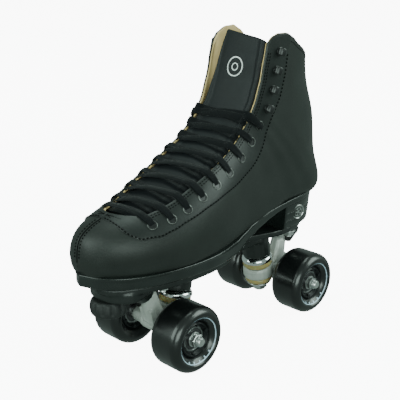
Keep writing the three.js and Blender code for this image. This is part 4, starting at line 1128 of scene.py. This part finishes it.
def print_dash(at, side, turn):
    """A short printed stroke on the wheel's face, inside the ring, as a plain stand-in for print."""
    skins = []
    for lift in (0.14, -0.3):
        rows = []
        for t in np.linspace(0, 1, 9):
            radius, height = 18.1 + 1.3 * t - lift * 0.6, 13.3 + 0.95 * t + lift * 0.8
            rows.append([(height, radius * math.cos(angle), radius * math.sin(angle))
                         for angle in (turn - 0.035, turn + 0.035)])
        skins.append(np.array(rows) * (side, 1, 1) + np.array(at))
    return closed_sheet(*skins)


# ---------- toe stop ----------
def toe_stop():
    at = (0, TOE_STOP_Y, 0)
    pad = filleted([(0, 54.5), (6, 54.5), (12.2, 54.7, 1.2), (14.9, 56.4, 1.2), (15.7, 59, 1.5), (15.6, 63, 2),
                    (14.6, 66.6, 1.5), (12.8, 68.4, 1), (0, 68.4)], 0.5)

    def flutes(angle, height):
        sides = min(1, max(0, (height - 56.5) / 3)) * min(1, max(0, (68.2 - height) / 2.5))
        return 1 - 0.07 * sides * (0.5 + 0.5 * math.cos(12 * angle)) ** 2

    piece("toe_stop_rubber", lathe(pad, at, UP, 208, flutes), STOP_RUBBER, "toe_stop",
          ["toe_stop_pad"], sharp=60)
    stem = [(0, 68.4), (7.2, 68.4), *threaded(8, 68.9, 77.6, 1.4, 0.5), (7.2, 78), (0, 78)]
    piece("toe_stop_screw", lathe(stem, at, UP, 48), ZINC, "toe_stop", ["toe_stop_stem"])


# ---------- stage ----------
SOFT_LIGHT = (0.82, 1.0, 0.92)  # a little green, as the photo's light is


def studio():
    bpy.ops.mesh.primitive_grid_add(x_subdivisions=8, y_subdivisions=8, size=14, location=(0, 0, -0.0004))
    floor = bpy.context.object
    floor.name = "studio_floor"
    floor.data.materials.append(FLOOR)
    floor.visible_diffuse = floor.visible_glossy = False  # so that it doesn't wash out the black leather
    world = bpy.data.worlds.new("studio")
    bpy.context.scene.world = world
    world.use_nodes = True
    background = world.node_tree.nodes["Background"]
    background.inputs["Color"].default_value = (0.76, 1.0, 0.89, 1)
    background.inputs["Strength"].default_value = 0.36

    def softbox(name, place, size, power, aim=(0, 0, 0.12)):
        light = bpy.data.lights.new(name, "AREA")
        light.shape, light.energy, light.color = "RECTANGLE", power, SOFT_LIGHT
        light.size, light.size_y = size
        lamp = bpy.data.objects.new(name, light)
        lamp.location = place
        lamp.rotation_euler = (Vector(aim) - Vector(place)).to_track_quat("-Z", "Y").to_euler()
        bpy.context.scene.collection.objects.link(lamp)

    softbox("overhead", (-0.3, 0.3, 1.8), (1.0, 1.0), 14)
    softbox("front_left", (-0.5, -1.9, 1.0), (1.6, 1.4), 34)
    softbox("side", (1.5, 1.5, 1.3), (1.5, 1.5), 46)
    softbox("right", (1.5, -1.1, 0.5), (1.2, 0.9), 22)


def camera():
    data = bpy.data.cameras.new("camera")
    data.lens, data.sensor_width = 74.7, 36
    data.clip_start, data.clip_end = 0.05, 50
    made = bpy.data.objects.new("camera", data)
    made.location = Vector((466.1, -485.95, 354.4)) * MM
    made.rotation_euler = Vector((-0.6597, 0.6769, -0.3265)).to_track_quat("-Z", "Y").to_euler()
    bpy.context.scene.collection.objects.link(made)
    bpy.context.scene.camera = made


camera()
studio()
quarters()
toe_seam()
stitching()
eyelets()
speed_hooks()
lace()
tongue()
tongue_mark()
soles()
badge()
plate()
for each in TRUCKS:
    truck_parts(each)
    for wheel_label, wheel_side in SIDES.items():
        wheel(each, wheel_label, wheel_side)
toe_stop()
